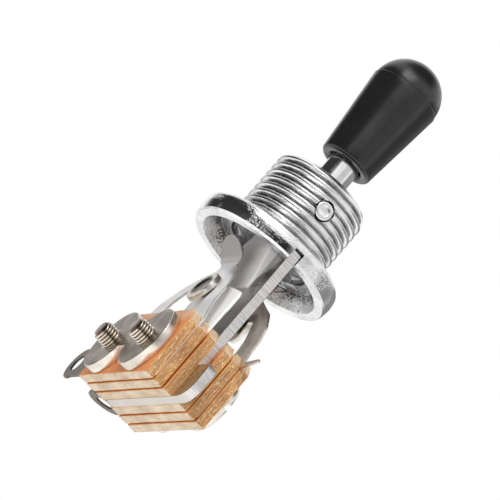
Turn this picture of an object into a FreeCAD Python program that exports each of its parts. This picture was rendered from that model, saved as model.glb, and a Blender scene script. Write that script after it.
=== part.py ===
import FreeCAD, Part
import os
import re
import Sketcher

# Guitar pickup selector switch: a threaded collar, a toggle lever with a moulded tip, a flat
# frame plate hung under the collar and a screwed stack of insulating boards and leaf springs.
# The origin is the centre of the collar's panel seat. Z runs up the barrel to the tip, X runs
# along the pivot pin and Y runs through the stack.

os.makedirs("parts", exist_ok=True)
doc = FreeCAD.newDocument("SelectorSwitch")
V = FreeCAD.Vector
ALONG_X = FreeCAD.Rotation(V(0, 1, 0), 90)
ALONG_Y = FreeCAD.Rotation(V(1, 0, 0), -90)
UPRIGHT = FreeCAD.Rotation()
BALL_BANDS = 8

# Driving sizes in millimetres
SIZES = [
    ("barrel_dia", 12.0, "outside of the threaded barrel"),
    ("barrel_len", 8.9, "barrel above the panel seat"),
    ("barrel_chamfer", 0.55, "bevel at the barrel's mouth"),
    ("flange_dia", 18.25, "collar flange"),
    ("flange_deep", 2.6, "flange below the panel seat"),
    ("flange_bevel", 0.4, "bevel round the flange's lower edge"),
    ("flange_round", 0.65, "soft upper edge of the flange"),
    ("corner_share", 0.3, "share of a rounded corner taken off at its middle"),
    ("rim_wide", 1.0, "flat rim round the recess"),
    ("recess_deep", 1.75, "recess under the flange"),
    ("recess_slope", 1.2, "run of the recess's sloping side"),
    ("mouth_dia", 6.65, "hole the lever leaves by"),
    ("lip_high", 1.2, "lip round that hole"),
    ("bore_dia", 7.7, "bore round the lever's ball"),
    ("well_dia", 10.2, "wider well under the bore"),
    ("well_high", 1.6, "top of the well above the seat"),
    ("pin_dia", 2.0, "pivot pin"),
    ("pin_high", 5.2, "pivot pin above the panel seat"),
    ("pin_short", 0.1, "pin's length less than the barrel"),
    ("pin_play", 0.03, "running clearance on the pin, on the radius"),
    ("seat_play", 0.01, "clearance of the pressed pin, on the radius"),
    ("shaft_dia", 3.7, "lever's round shaft"),
    ("shaft_top", 22.2, "top of the shaft, inside the tip"),
    ("ball_dia", 7.05, "ball the lever turns on"),
    ("tang_wide", 4.25, "flat tang that carries the foot"),
    ("tang_thick", 1.5, "tang thickness"),
    ("tang_low", 1.65, "tang's end below the panel seat"),
    ("tang_play", 0.02, "clearance round the tang"),
    ("foot_top", 0.85, "top of the foot above the panel seat"),
    ("foot_low", 6.85, "foot's end below the panel seat"),
    ("foot_wide", 8.7, "foot across the frame's window"),
    ("foot_neck", 6.65, "foot's width at its top"),
    ("foot_flare", 1.75, "where the foot reaches its full width"),
    ("foot_deep", 3.25, "foot's thickness at its top"),
    ("foot_waist", 1.75, "foot's thickness where the springs ride"),
    ("foot_edge", 1.3, "foot's thickness at its end"),
    ("foot_end_round", 0.5, "rounded lower corners of the foot"),
    ("tip_gap", 3.8, "bare shaft between barrel and tip"),
    ("tip_long", 15.1, "moulded tip"),
    ("tip_dia", 8.5, "widest part of the tip"),
    ("tip_foot", 6.4, "tip at its lower end"),
    ("tip_step", 0.12, "fine step under the dome"),
    ("tip_round", 0.95, "rounded lower edge of the tip"),
    ("tip_dish", 4.65, "dish round the shaft in the tip"),
    ("tip_dish_deep", 0.55, "depth of that dish"),
    ("shaft_play", 0.03, "clearance of the shaft in the tip, on the radius"),
    ("end_play", 1.0, "room above the shaft in the tip"),
    ("frame_thick", 1.2, "frame plate"),
    ("frame_wide", 17.3, "frame plate across its arms"),
    ("frame_top", 1.2, "arm ends below the panel seat"),
    ("frame_round", 0.75, "rounded arm ends"),
    ("slot_play", 0.08, "clearance of the arms in the flange"),
    ("window_wide", 9.65, "window between the arms"),
    ("window_low", 12.7, "foot of the window below the panel seat"),
    ("window_round", 1.1, "window corners"),
    ("ear_reach", 13.15, "earth lug of the frame, from the centre"),
    ("ear_top", 18.5, "top of the lug below the panel seat"),
    ("ear_round", 3.15, "rounded lower corner of the lug"),
    ("board_wide", 19.05, "insulating boards"),
    ("board_thick", 1.15, "board thickness"),
    ("board_cut", 1.4, "cut upper corners of the boards"),
    ("board_shift", 0.15, "boards set a little out of line"),
    ("stack_top", 14.05, "top of the stack below the panel seat"),
    ("stack_high", 9.15, "height of the stack"),
    ("leaf_thick", 0.25, "spring leaves"),
    ("leaf_root", 18.6, "spring leaf across its root"),
    ("root_top", 12.9, "top of the root's straight sides below the panel seat"),
    ("leaf_mid", 14.8, "spring leaf across the middle of its sloping sides"),
    ("mid_low", 9.6, "that middle below the panel seat"),
    ("leaf_neck", 8.0, "spring leaf across its shoulders"),
    ("shoulder_low", 7.3, "shoulders below the panel seat"),
    ("shoulder_round", 1.3, "rounded shoulders"),
    ("tongue_wide", 5.55, "tongue the foot pushes"),
    ("tongue_low", 5.45, "root of the tongue below the panel seat"),
    ("tongue_round", 2.3, "rounded end of the tongue"),
    ("bend_low", 11.3, "where the spring starts to lean in"),
    ("knee_out", 1.85, "knee of the spring from the middle plane"),
    ("knee_low", 5.0, "knee below the panel seat"),
    ("flare_out", 4.45, "flared end of the tongue from the middle plane"),
    ("flare_low", 2.8, "flared end below the panel seat"),
    ("leaf_gap_root", 9.8, "window of the spring at its foot"),
    ("leaf_gap_top", 7.4, "window of the spring beside the contact"),
    ("leaf_gap_low", 13.35, "foot of that window below the panel seat"),
    ("contact_low", 8.9, "contacts below the panel seat"),
    ("contact_pad", 4.6, "round pad that carries the contact"),
    ("contact_dia", 1.9, "contact face"),
    ("contact_face_high", 0.15, "height of the fixed contact's face"),
    ("contact_play", 0.03, "least gap between the contacts of a pair"),
    ("contact_shank", 1.3, "contact's riveted shank"),
    ("contact_cap", 4.6, "wide outer head of the contact"),
    ("contact_cap_high", 0.35, "height of that head"),
    ("cap_dish", 3.2, "dished middle of that head"),
    ("cap_dish_deep", 0.2, "depth of the dish"),
    ("fixed_wide", 17.2, "fixed leaf in the stack"),
    ("fixed_peak", 7.45, "top of the fixed leaf below the panel seat"),
    ("fixed_side", 9.05, "long side of the fixed leaf below the panel seat"),
    ("fixed_flat", 1.8, "end of the fixed leaf's level top, from the middle"),
    ("fixed_inner", 2.6, "short side of the fixed leaf, from the middle"),
    ("lug_wide", 4.0, "neck of the solder lugs"),
    ("lug_eye", 4.3, "eye of the solder lugs"),
    ("lug_hole", 2.2, "hole in the eye"),
    ("front_reach", 17.4, "front spring's eye from the centre"),
    ("front_lug_low", 19.9, "front spring's lug below the panel seat"),
    ("inner_reach", 14.25, "front fixed leaf's eye from the centre"),
    ("inner_lug_low", 16.1, "front fixed leaf's lug below the panel seat"),
    ("back_reach", 17.0, "rear fixed leaf's eye from the centre"),
    ("back_lug_low", 20.95, "rear fixed leaf's lug below the panel seat"),
    ("back_neck", 2.0, "narrow neck of the twisted lug"),
    ("lug_twist", 85, "degrees the rear leaf's eye is twisted about its neck"),
    ("spur_wide", 0.9, "width of the short tab"),
    ("spur_reach", 13.2, "short tab of the rear spring from the centre"),
    ("spur_low", 15.1, "short tab below the panel seat"),
    ("screw_dia", 2.5, "stack screws"),
    ("screw_pitch", 9.65, "between the two screws"),
    ("screw_low", 19.0, "screws below the panel seat"),
    ("screw_proud", 1.75, "screw ends beyond the clamp plate"),
    ("head_dia", 6.85, "screw heads"),
    ("head_high", 1.2, "height of the heads"),
    ("head_round", 0.45, "rounded edge of the heads"),
    ("drive_wide", 0.85, "screwdriver slot"),
    ("drive_deep", 0.65, "depth of the slot"),
    ("sleeve_wall", 0.4, "insulating sleeves on the screws"),
    ("sleeve_play", 0.03, "clearance inside and outside the sleeves"),
    ("hole_sides", 12, "sides of the hidden holes and tubes"),
    ("clamp_thick", 1.2, "clamp plate"),
    ("clamp_lobe", 8.15, "round ends of the clamp plate"),
    ("clamp_waist", 5.0, "narrow middle of the clamp plate"),
    ("thread_play", 0.01, "clearance of the screws in the clamp plate"),
]

sheet = doc.addObject("Spreadsheet::Sheet", "Sizes")
for row, (alias, size, note) in enumerate(SIZES, 1):
    sheet.set("A%d" % row, alias)
    sheet.set("B%d" % row, str(size))
    sheet.setAlias("B%d" % row, alias)
    sheet.set("C%d" % row, note)
doc.recompute()


def cells(text):
    """Turn plain names in a formula into cells of the sheet."""
    return re.sub(r"[a-z][a-z_]+\b(?!\()", lambda found: "Sizes." + found.group(0), text)


def number(text):
    return float(sheet.evalExpression(cells(text)))


def bind(thing, field, text):
    thing.setExpression(field, cells(text))


def place(thing, x="0", y="0", z="0", turn=UPRIGHT):
    """Set a piece's direction and tie its position to the sheet."""
    thing.Placement = FreeCAD.Placement(V(0, 0, 0), turn)
    for axis, text in (("x", x), ("y", y), ("z", z)):
        bind(thing, "Placement.Base." + axis, text)
    return thing


def cylinder(name, radius, length, x="0", y="0", z="0", turn=UPRIGHT):
    rod = doc.addObject("Part::Cylinder", name)
    bind(rod, "Radius", radius)
    bind(rod, "Height", length)
    return place(rod, x, y, z, turn)


def prism(name, radius, length, x="0", y="0", z="0", turn=UPRIGHT):
    """A many-sided rod whose flats lie at the radius, for holes and tubes out of sight."""
    rod = doc.addObject("Part::Prism", name)
    bind(rod, "Polygon", "hole_sides")
    bind(rod, "Circumradius", "(%s) / cos(180 ° / hole_sides)" % radius)
    bind(rod, "Height", length)
    return place(rod, x, y, z, turn)


def block(name, wide, deep, high, x="0", y="0", z="0"):
    """A box whose x and y give its middle and whose z gives its foot."""
    brick = doc.addObject("Part::Box", name)
    bind(brick, "Length", wide)
    bind(brick, "Width", deep)
    bind(brick, "Height", high)
    return place(brick, "%s - (%s) / 2" % (x, wide), "%s - (%s) / 2" % (y, deep), z)


def sphere(name, radius, z):
    ball = doc.addObject("Part::Sphere", name)
    bind(ball, "Radius", radius)
    return place(ball, z=z)


def cone(name, low, high, length, z="0"):
    taper = doc.addObject("Part::Cone", name)
    bind(taper, "Radius1", low)
    bind(taper, "Radius2", high)
    bind(taper, "Height", length)
    return place(taper, z=z)


def fuse(name, pieces):
    whole = doc.addObject("Part::MultiFuse", name)
    whole.Shapes = pieces
    whole.Refine = True
    return whole


def common(name, pieces):
    rest = doc.addObject("Part::MultiCommon", name)
    rest.Shapes = pieces
    return rest


def cut(name, base, tool):
    rest = doc.addObject("Part::Cut", name)
    rest.Base = base
    rest.Tool = tool
    return rest


def rounded(name, base, radius, chosen):
    """Fillet those edges of a piece that the test picks by their middle point and direction."""
    doc.recompute()
    soft = doc.addObject("Part::Fillet", name)
    soft.Base = base
    soft.Edges = picked(base.Shape, radius, chosen)
    return soft


def picked(shape, radius, chosen):
    size = number(radius)
    edges = []
    for index, edge in enumerate(shape.Edges, 1):
        middle = edge.valueAt((edge.FirstParameter + edge.LastParameter) / 2)
        if chosen(middle, edge):
            edges.append((index, size, size))
    return edges


def along(edge, axis):
    """True for a straight edge that runs along the given axis."""
    if not isinstance(edge.Curve, Part.Line):
        return False
    return abs(edge.tangentAt(edge.FirstParameter).dot(axis)) > 0.99


def flat_sketch(body, name, role, corners):
    """A closed outline on one of the body's own planes, each corner tied to the sheet."""
    sketch = body.newObject("Sketcher::SketchObject", name)
    plane = [datum for datum in body.Origin.OriginFeatures if datum.Role == role][0]
    sketch.AttachmentSupport = (plane, [""])
    sketch.MapMode = "FlatFace"
    spots = [V(number(across), number(up), 0) for across, up in corners]
    count = len(spots)
    for index in range(count):
        line = Part.LineSegment(spots[index], spots[(index + 1) % count])
        sketch.addGeometry(line, False)
    for index in range(count):
        after = (index + 1) % count
        sketch.addConstraint(Sketcher.Constraint("Coincident", index, 2, after, 1))
    for index, (across, up) in enumerate(corners):
        tie(sketch, "DistanceX", index, across, spots[index].x, -2)
        tie(sketch, "DistanceY", index, up, spots[index].y, -1)
    return sketch


def tie(sketch, kind, index, text, size, axis):
    if abs(size) < 1e-9:
        sketch.addConstraint(Sketcher.Constraint("PointOnObject", index, 1, axis))
        return
    number_of = sketch.addConstraint(Sketcher.Constraint(kind, -1, 1, index, 1, size))
    bind(sketch, "Constraints[%d]" % number_of, text)


def slab(name, role, corners, thick):
    """A body padded to both sides of one of its planes."""
    body = doc.addObject("PartDesign::Body", name)
    sketch = flat_sketch(body, name + "_outline", role, corners)
    pad = body.newObject("PartDesign::Pad", name + "_pad")
    pad.Profile = sketch
    pad.Midplane = True
    bind(pad, "Length", thick)
    body.Tip = pad
    return body


def turned(name, corners):
    """A body spun about Z from an outline given as radius and height."""
    body = doc.addObject("PartDesign::Body", name)
    sketch = flat_sketch(body, name + "_outline", "XZ_Plane", corners)
    spin = body.newObject("PartDesign::Revolution", name + "_spin")
    spin.Profile = sketch
    spin.ReferenceAxis = (sketch, ["V_Axis"])
    spin.Angle = 360
    body.Tip = spin
    return body


# Heights in the stack
STACK_LOW = "-(stack_top + stack_high)"
STACK_MID = "-screw_low"
SLEEVE_BORE = "screw_dia / 2 + sleeve_play"
SLEEVE_OUT = "screw_dia / 2 + sleeve_play + sleeve_wall"
SLEEVE_HOLE = SLEEVE_OUT + " + sleeve_play"
FIXED_SEAT = "(frame_thick / 2 + board_thick + leaf_thick / 2)"
SPRING_SEAT = "(frame_thick / 2 + 2 * board_thick + 1.5 * leaf_thick)"
STACK_HALF = "(frame_thick / 2 + 3 * board_thick + 2 * leaf_thick)"
SIDES = (("left", "-screw_pitch / 2"), ("right", "screw_pitch / 2"))


def screw_holes(name, radius, rod=prism):
    """Two drills through the whole stack."""
    drills = [rod(name + "_" + side, radius, "4 * stack_high", x, "-2 * stack_high", STACK_MID,
                  ALONG_Y) for side, x in SIDES]
    return fuse(name, drills)


def make_bushing():
    body = turned("collar", [
        ("flange_dia / 2 - flange_bevel - rim_wide", "-flange_deep"),
        ("flange_dia / 2 - flange_bevel", "-flange_deep"),
        ("flange_dia / 2", "flange_bevel - flange_deep"),
        ("flange_dia / 2", "-flange_round"),
        ("flange_dia / 2 - corner_share * flange_round", "-corner_share * flange_round"),
        ("flange_dia / 2 - flange_round", "0"),
        ("barrel_dia / 2", "0"),
        ("barrel_dia / 2", "barrel_len - barrel_chamfer"),
        ("barrel_dia / 2 - barrel_chamfer", "barrel_len"),
        ("mouth_dia / 2", "barrel_len"),
        ("mouth_dia / 2", "barrel_len - lip_high"),
        ("bore_dia / 2", "barrel_len - lip_high"),
        ("bore_dia / 2", "well_high"),
        ("well_dia / 2", "well_high"),
        ("well_dia / 2", "recess_deep - flange_deep"),
        ("flange_dia / 2 - flange_bevel - rim_wide - recess_slope", "recess_deep - flange_deep"),
    ])
    pin_hole = cylinder("collar_pin_hole", "pin_dia / 2 + seat_play", "2 * barrel_dia",
                        "-barrel_dia", "0", "pin_high", ALONG_X)
    slot = block("collar_slot", "2 * flange_dia", "frame_thick + 2 * slot_play",
                 "2 * flange_deep", z="-frame_top + slot_play - 2 * flange_deep")
    return cut("bushing", body, fuse("collar_cuts", [pin_hole, slot]))


def make_pin():
    length = "barrel_dia - 2 * pin_short"
    return cylinder("pivot_pin", "pin_dia / 2", length, "-(%s) / 2" % length, "0", "pin_high",
                    ALONG_X)


def make_ball():
    """The ball the lever turns on, in bands, since the bore hides it."""
    band = 180 / BALL_BANDS
    angles = [index * band - 90 for index in range(1, BALL_BANDS)]
    foot = [("0", "pin_high - ball_dia / 2")]
    crown = [("0", "pin_high + ball_dia / 2")]
    side = [("ball_dia / 2 * cos(%s °)" % angle, "pin_high + ball_dia / 2 * sin(%s °)" % angle)
            for angle in angles]
    return turned("lever_ball", foot + side + crown)


def make_lever():
    shaft = cylinder("lever_shaft", "shaft_dia / 2", "shaft_top - pin_high", z="pin_high")
    ball = make_ball()
    tang = block("lever_tang", "tang_wide", "tang_thick", "pin_high + tang_low", z="-tang_low")
    eye = cylinder("lever_eye", "pin_dia / 2 + pin_play", "2 * ball_dia", "-ball_dia", "0",
                   "pin_high", ALONG_X)
    return cut("lever", fuse("lever_solid", [shaft, ball, tang]), eye)


def make_foot():
    """The insulating foot that pushes the springs apart, tapered both ways."""
    face = slab("foot_face", "XZ_Plane", [
        ("-foot_neck / 2", "foot_top"),
        ("foot_neck / 2", "foot_top"),
        ("foot_wide / 2", "-foot_flare"),
        ("foot_wide / 2", "-foot_low"),
        ("-foot_wide / 2", "-foot_low"),
        ("-foot_wide / 2", "-foot_flare"),
    ], "2 * foot_deep")
    side = slab("foot_side", "YZ_Plane", [
        ("-foot_deep / 2", "foot_top"),
        ("foot_deep / 2", "foot_top"),
        ("foot_deep / 2", "-tang_low"),
        ("foot_waist / 2", "-knee_low"),
        ("foot_edge / 2", "-foot_low"),
        ("-foot_edge / 2", "-foot_low"),
        ("-foot_waist / 2", "-knee_low"),
        ("-foot_deep / 2", "-tang_low"),
    ], "2 * foot_wide")
    socket = block("foot_socket", "tang_wide + 2 * tang_play", "tang_thick + 2 * tang_play",
                   "2 * (foot_top + tang_low)", z="-tang_low - tang_play")
    whole = common("foot_form", [face, side])
    low = number("-foot_low")
    soft = rounded("foot_soft", whole, "foot_end_round", lambda middle, edge:
                   along(edge, V(0, 1, 0)) and abs(middle.z - low) < 0.01)
    return cut("lever_foot", soft, socket)


def make_tip():
    base = "barrel_len + tip_gap"
    dome_mid = base + " + tip_long - tip_dia / 2"
    stem = turned("tip_stem", [
        ("0", base),
        ("tip_foot / 2 - tip_round", base),
        ("tip_foot / 2 - corner_share * tip_round", base + " + corner_share * tip_round"),
        ("tip_foot / 2", base + " + tip_round"),
        ("tip_dia / 2", dome_mid),
        ("0", dome_mid),
    ])
    dome = sphere("tip_dome", "tip_dia / 2 - tip_step", dome_mid)
    hole = cylinder("tip_hole", "shaft_dia / 2 + shaft_play", "shaft_top - (%s) + end_play" % base,
                    z=base)
    dish = cone("tip_dish_cut", "tip_dish / 2", "shaft_dia / 2", "tip_dish_deep", base)
    return cut("lever_tip", fuse("tip_form", [stem, dome]), fuse("tip_cuts", [hole, dish]))


def make_frame():
    """Flat plate: two arms up into the flange, a window for the foot and an earth lug."""
    body = slab("frame_blank", "XZ_Plane", [
        ("-frame_wide / 2", "-frame_top"),
        ("-window_wide / 2", "-frame_top"),
        ("-window_wide / 2", "-window_low"),
        ("window_wide / 2", "-window_low"),
        ("window_wide / 2", "-frame_top"),
        ("frame_wide / 2", "-frame_top"),
        ("frame_wide / 2", "-ear_top"),
        ("ear_reach", "-ear_top"),
        ("ear_reach", STACK_LOW),
        ("-frame_wide / 2", STACK_LOW),
    ], "frame_thick")
    side = number("frame_wide / 2")
    top = number("-frame_top")
    reach = number("ear_reach")
    base = number(STACK_LOW)
    inner = number("window_wide / 2")
    sill = number("-window_low")
    arms = rounded("frame_arms", body, "frame_round", lambda middle, edge:
                   along(edge, V(0, 1, 0)) and abs(middle.z - top) < 0.01
                   and abs(abs(middle.x) - side) < 0.01)
    sills = rounded("frame_sill", arms, "window_round", lambda middle, edge:
                    along(edge, V(0, 1, 0)) and abs(middle.z - sill) < 0.01
                    and abs(abs(middle.x) - inner) < 0.01)
    lug = rounded("frame_lug", sills, "ear_round", lambda middle, edge:
                  along(edge, V(0, 1, 0)) and abs(middle.z - base) < 0.01
                  and abs(middle.x - reach) < 0.01)
    return cut("frame_plate", lug, screw_holes("frame_holes", SLEEVE_HOLE))


def make_board(name, shift, y):
    """One insulating board with cut upper corners and a hole for each sleeve."""
    half = "board_wide / 2"
    body = slab(name + "_blank", "XZ_Plane", [
        ("-" + half, STACK_LOW),
        (half, STACK_LOW),
        (half, "-stack_top - board_cut"),
        (half + " - board_cut", "-stack_top"),
        ("-" + half + " + board_cut", "-stack_top"),
        ("-" + half, "-stack_top - board_cut"),
    ], "board_thick")
    place(body, x=shift, y=y)
    return cut(name, body, screw_holes(name + "_holes", SLEEVE_HOLE))


def terminal(name, lug, seat):
    """A neck that leaves the stack sideways, with a round eye at its end where it has one."""
    sign, reach, low, wide, twist = lug
    if twist is None:
        return [block(name + "_tab", reach, "leaf_thick", wide, "%s (%s) / 2" % (sign, reach),
                      seat, "-(%s) - (%s) / 2" % (low, wide))]
    neck = block(name + "_neck", "%s - lug_hole / 2" % reach, "leaf_thick", wide,
                 "%s (%s - lug_hole / 2) / 2" % (sign, reach), seat,
                 "-(%s) - (%s) / 2" % (low, wide))
    disc = cylinder(name + "_disc", "lug_eye / 2", "leaf_thick", z="-leaf_thick / 2")
    hole = prism(name + "_hole", "lug_hole / 2", "2 * leaf_thick", z="-leaf_thick")
    eye = place(cut(name + "_eye", disc, hole), "%s (%s)" % (sign, reach), seat, "-(%s)" % low,
                FreeCAD.Rotation(V(1, 0, 0), 90))
    bind(eye, "Placement.Rotation.Angle", "90 ° + %s" % twist)
    return [neck, eye]


def make_spring(name, sign, lug):
    """A moving leaf: straight in the stack, leaning in to the knee, flared at its tongue."""
    seat = sign + SPRING_SEAT
    side = slab(name + "_side", "YZ_Plane", [
        ("%s(%s + leaf_thick / 2)" % (sign, SPRING_SEAT), STACK_LOW),
        ("%s(%s + leaf_thick / 2)" % (sign, SPRING_SEAT), "-bend_low"),
        ("%s(knee_out + leaf_thick / 2)" % sign, "-knee_low - leaf_thick / 5"),
        ("%s(flare_out + leaf_thick / 3)" % sign, "-flare_low - leaf_thick / 3"),
        ("%s(flare_out - leaf_thick / 3)" % sign, "-flare_low + leaf_thick / 3"),
        ("%s(knee_out - leaf_thick / 2)" % sign, "-knee_low + leaf_thick / 5"),
        ("%s(%s - leaf_thick / 2)" % (sign, SPRING_SEAT), "-bend_low"),
        ("%s(%s - leaf_thick / 2)" % (sign, SPRING_SEAT), STACK_LOW),
    ], "2 * leaf_root")
    face = slab(name + "_face", "XZ_Plane", [
        ("-leaf_root / 2", STACK_LOW),
        ("leaf_root / 2", STACK_LOW),
        ("leaf_root / 2", "-root_top"),
        ("leaf_mid / 2", "-mid_low"),
        ("leaf_neck / 2", "-shoulder_low"),
        ("tongue_wide / 2", "-tongue_low"),
        ("tongue_wide / 2", "leaf_thick - flare_low"),
        ("-tongue_wide / 2", "leaf_thick - flare_low"),
        ("-tongue_wide / 2", "-tongue_low"),
        ("-leaf_neck / 2", "-shoulder_low"),
        ("-leaf_mid / 2", "-mid_low"),
        ("-leaf_root / 2", "-root_top"),
    ], "4 * stack_high")
    top = number("leaf_thick - flare_low")
    neck_height = number("-shoulder_low")
    crown = rounded(name + "_crown", face, "tongue_round", lambda middle, edge:
                    along(edge, V(0, 1, 0)) and abs(middle.z - top) < 0.01)
    shoulders = rounded(name + "_shoulders", crown, "shoulder_round", lambda middle, edge:
                        along(edge, V(0, 1, 0)) and abs(middle.z - neck_height) < 0.01)
    gap = slab(name + "_gap", "XZ_Plane", [
        ("-leaf_gap_root / 2", "-leaf_gap_low"),
        ("leaf_gap_root / 2", "-leaf_gap_low"),
        ("leaf_gap_top / 2", "-contact_low"),
        ("-leaf_gap_top / 2", "-contact_low"),
    ], "4 * stack_high")
    pad = cylinder(name + "_pad", "contact_pad / 2", "4 * stack_high", "0", "-2 * stack_high",
                   "-contact_low", ALONG_Y)
    pierced = cut(name + "_pierced", shoulders, gap)
    outline = fuse(name + "_pattern", [pierced, pad])
    blade = common(name + "_blade", [side, outline])
    rivet = prism(name + "_rivet", "contact_shank / 2 + seat_play", "4 * stack_high", "0",
                     "-2 * stack_high", "-contact_low", ALONG_Y)
    holes = screw_holes(name + "_holes", SLEEVE_HOLE)
    return cut(name, fuse(name + "_solid", [blade] + terminal(name + "_lug", lug, seat)),
               fuse(name + "_cuts", [holes, rivet]))


def make_fixed_leaf(name, sign, side, lug):
    """A flat contact leaf, tall toward one side and stepped down to the stack on the other."""
    seat = sign + FIXED_SEAT
    blade = slab(name + "_blade", "XZ_Plane", [
        ("%s -fixed_wide / 2" % side, STACK_LOW),
        ("%s fixed_wide / 2" % side, STACK_LOW),
        ("%s fixed_wide / 2" % side, "-fixed_side"),
        ("%s fixed_flat" % side, "-fixed_peak"),
        ("%s -fixed_inner" % side, "-fixed_peak"),
        ("%s -fixed_inner" % side, "-stack_top"),
        ("%s -fixed_wide / 2" % side, "-stack_top"),
    ], "leaf_thick")
    place(blade, y=seat)
    rivet = prism(name + "_rivet", "contact_shank / 2 + seat_play", "4 * stack_high", "0",
                     "-2 * stack_high", "-contact_low", ALONG_Y)
    holes = screw_holes(name + "_holes", SLEEVE_HOLE)
    return cut(name, fuse(name + "_solid", [blade] + terminal(name + "_lug", lug, seat)),
               fuse(name + "_cuts", [holes, rivet]))


def make_clamp():
    """Two round nuts in one plate, drawn in at the waist."""
    y = "-%s - clamp_thick" % STACK_HALF
    lobes = [cylinder("clamp_" + side, "clamp_lobe / 2", "clamp_thick", x, y, STACK_MID, ALONG_Y)
             for side, x in SIDES]
    waist = block("clamp_waist_bar", "screw_pitch", "clamp_thick", "clamp_waist", "0",
                  y + " + clamp_thick / 2", STACK_MID + " - clamp_waist / 2")
    return cut("clamp_plate", fuse("clamp_blank", lobes + [waist]),
               screw_holes("clamp_holes", "screw_dia / 2 + thread_play", cylinder))


def make_screws():
    """Two identical slotted screws from the rear face to beyond the clamp plate."""
    length = "2 * %s + clamp_thick + screw_proud" % STACK_HALF
    screws = []
    for side, x in SIDES:
        name = "screw_" + side
        shank = cylinder(name + "_shank", "screw_dia / 2", length, x,
                         "-%s - clamp_thick - screw_proud" % STACK_HALF, STACK_MID, ALONG_Y)
        head = cylinder(name + "_head", "head_dia / 2", "head_high - head_round", x, STACK_HALF,
                        STACK_MID, ALONG_Y)
        dome = cone(name + "_dome", "head_dia / 2", "head_dia / 2 - head_round", "head_round")
        place(dome, x, STACK_HALF + " + head_high - head_round", STACK_MID, ALONG_Y)
        slot = block(name + "_slot", "2 * head_dia", "2 * drive_deep", "drive_wide", x,
                     STACK_HALF + " + head_high", STACK_MID + " - drive_wide / 2")
        screws.append(cut(name, fuse(name + "_solid", [shank, head, dome]), slot))
    return fuse("stack_screws", screws)


def make_sleeves():
    tubes = []
    for side, x in SIDES:
        tube = prism("sleeve_" + side, SLEEVE_OUT, "2 * " + STACK_HALF, x, "-" + STACK_HALF,
                     STACK_MID, ALONG_Y)
        tubes.append(tube)
    return cut("screw_sleeves", fuse("sleeve_tubes", tubes),
               screw_holes("sleeve_holes", SLEEVE_BORE))


LEAN = "atan((%s - knee_out) / (bend_low - knee_low))" % SPRING_SEAT
SPRING_AT_CONTACT = "(%s - (%s - knee_out) * (bend_low - contact_low) / (bend_low - knee_low))" % (
    SPRING_SEAT, SPRING_SEAT)
CONTACT_DIP = "contact_dia / 2 * sin(%s)" % LEAN
CONTACT_REACH = "(%s - %s - leaf_thick / 2 - contact_face_high - contact_play - %s)" % (
    SPRING_AT_CONTACT, FIXED_SEAT, CONTACT_DIP)
CONTACT_ROOM = "(%s / cos(%s) - leaf_thick / 2)" % (CONTACT_REACH, LEAN)


def make_moving_contact(name, sign):
    """A rivet in the spring's pad: a wide dished head outside, a blunt point to its partner."""
    shank = prism(name + "_shank", "contact_shank / 2", "leaf_thick", z="-leaf_thick / 2")
    cap = cylinder(name + "_cap", "contact_cap / 2", "contact_cap_high", z="leaf_thick / 2")
    dish = cylinder(name + "_dish", "cap_dish / 2", "contact_cap_high",
                    z="leaf_thick / 2 + contact_cap_high - cap_dish_deep")
    point = cylinder(name + "_point", "contact_dia / 2", CONTACT_ROOM,
                     z="-leaf_thick / 2 - " + CONTACT_ROOM)
    rivet = fuse(name, [shank, cut(name + "_head", cap, dish), point])
    rivet.Placement = FreeCAD.Placement(V(0, 0, 0), V(1, 0, 0), 90)
    bind(rivet, "Placement.Rotation.Angle", "%s(-90 ° + %s)" % (sign, LEAN))
    bind(rivet, "Placement.Base.y", sign + SPRING_AT_CONTACT)
    bind(rivet, "Placement.Base.z", "-contact_low")
    return rivet


def make_fixed_contact(name, sign):
    """A flat riveted face on the fixed leaf."""
    turn = FreeCAD.Rotation(V(1, 0, 0), 90 if sign.startswith("-") else -90)
    shank = prism(name + "_shank", "contact_shank / 2", "leaf_thick", "0",
                  "%s(%s - leaf_thick / 2)" % (sign, FIXED_SEAT), "-contact_low", turn)
    face = cylinder(name + "_face", "contact_dia / 2", "contact_face_high", "0",
                    "%s(%s + leaf_thick / 2)" % (sign, FIXED_SEAT), "-contact_low", turn)
    return fuse(name, [shank, face])


bushing = make_bushing()
pieces = [bushing, make_pin(), make_lever(), make_foot(), make_tip(), make_frame()]
BOARD_SEATS = [
    ("board_1", "0", "-(frame_thick / 2 + 2.5 * board_thick + 2 * leaf_thick)"),
    ("board_2", "-board_shift", "-(frame_thick / 2 + 1.5 * board_thick + leaf_thick)"),
    ("board_3", "board_shift / 2", "-(frame_thick / 2 + board_thick / 2)"),
    ("board_4", "board_shift", "frame_thick / 2 + board_thick / 2"),
    ("board_5", "-board_shift / 2", "frame_thick / 2 + 1.5 * board_thick + leaf_thick"),
    ("board_6", "0", "frame_thick / 2 + 2.5 * board_thick + 2 * leaf_thick"),
]
for board_name, board_x, board_y in BOARD_SEATS:
    pieces.append(make_board(board_name, board_x, board_y))
FRONT_LUG = ("-1 *", "front_reach", "front_lug_low", "lug_wide", "0 °")
SPUR = ("1 *", "spur_reach", "spur_low", "spur_wide", None)
INNER_LUG = ("-1 *", "inner_reach", "inner_lug_low", "back_neck", "0 °")
BACK_LUG = ("-1 *", "back_reach", "back_lug_low", "back_neck", "lug_twist * 1 °")
pieces.append(make_spring("front_spring", "-1 * ", FRONT_LUG))
pieces.append(make_spring("rear_spring", "1 * ", SPUR))
pieces.append(make_fixed_leaf("front_fixed_leaf", "-1 * ", "1 *", INNER_LUG))
pieces.append(make_fixed_leaf("rear_fixed_leaf", "1 * ", "-1 *", BACK_LUG))
pieces.append(make_moving_contact("front_moving_contact", "-1 * "))
pieces.append(make_moving_contact("rear_moving_contact", "1 * "))
pieces.append(make_fixed_contact("front_fixed_contact", "-1 * "))
pieces.append(make_fixed_contact("rear_fixed_contact", "1 * "))
pieces.append(make_clamp())
pieces.append(make_screws())
pieces.append(make_sleeves())

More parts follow.
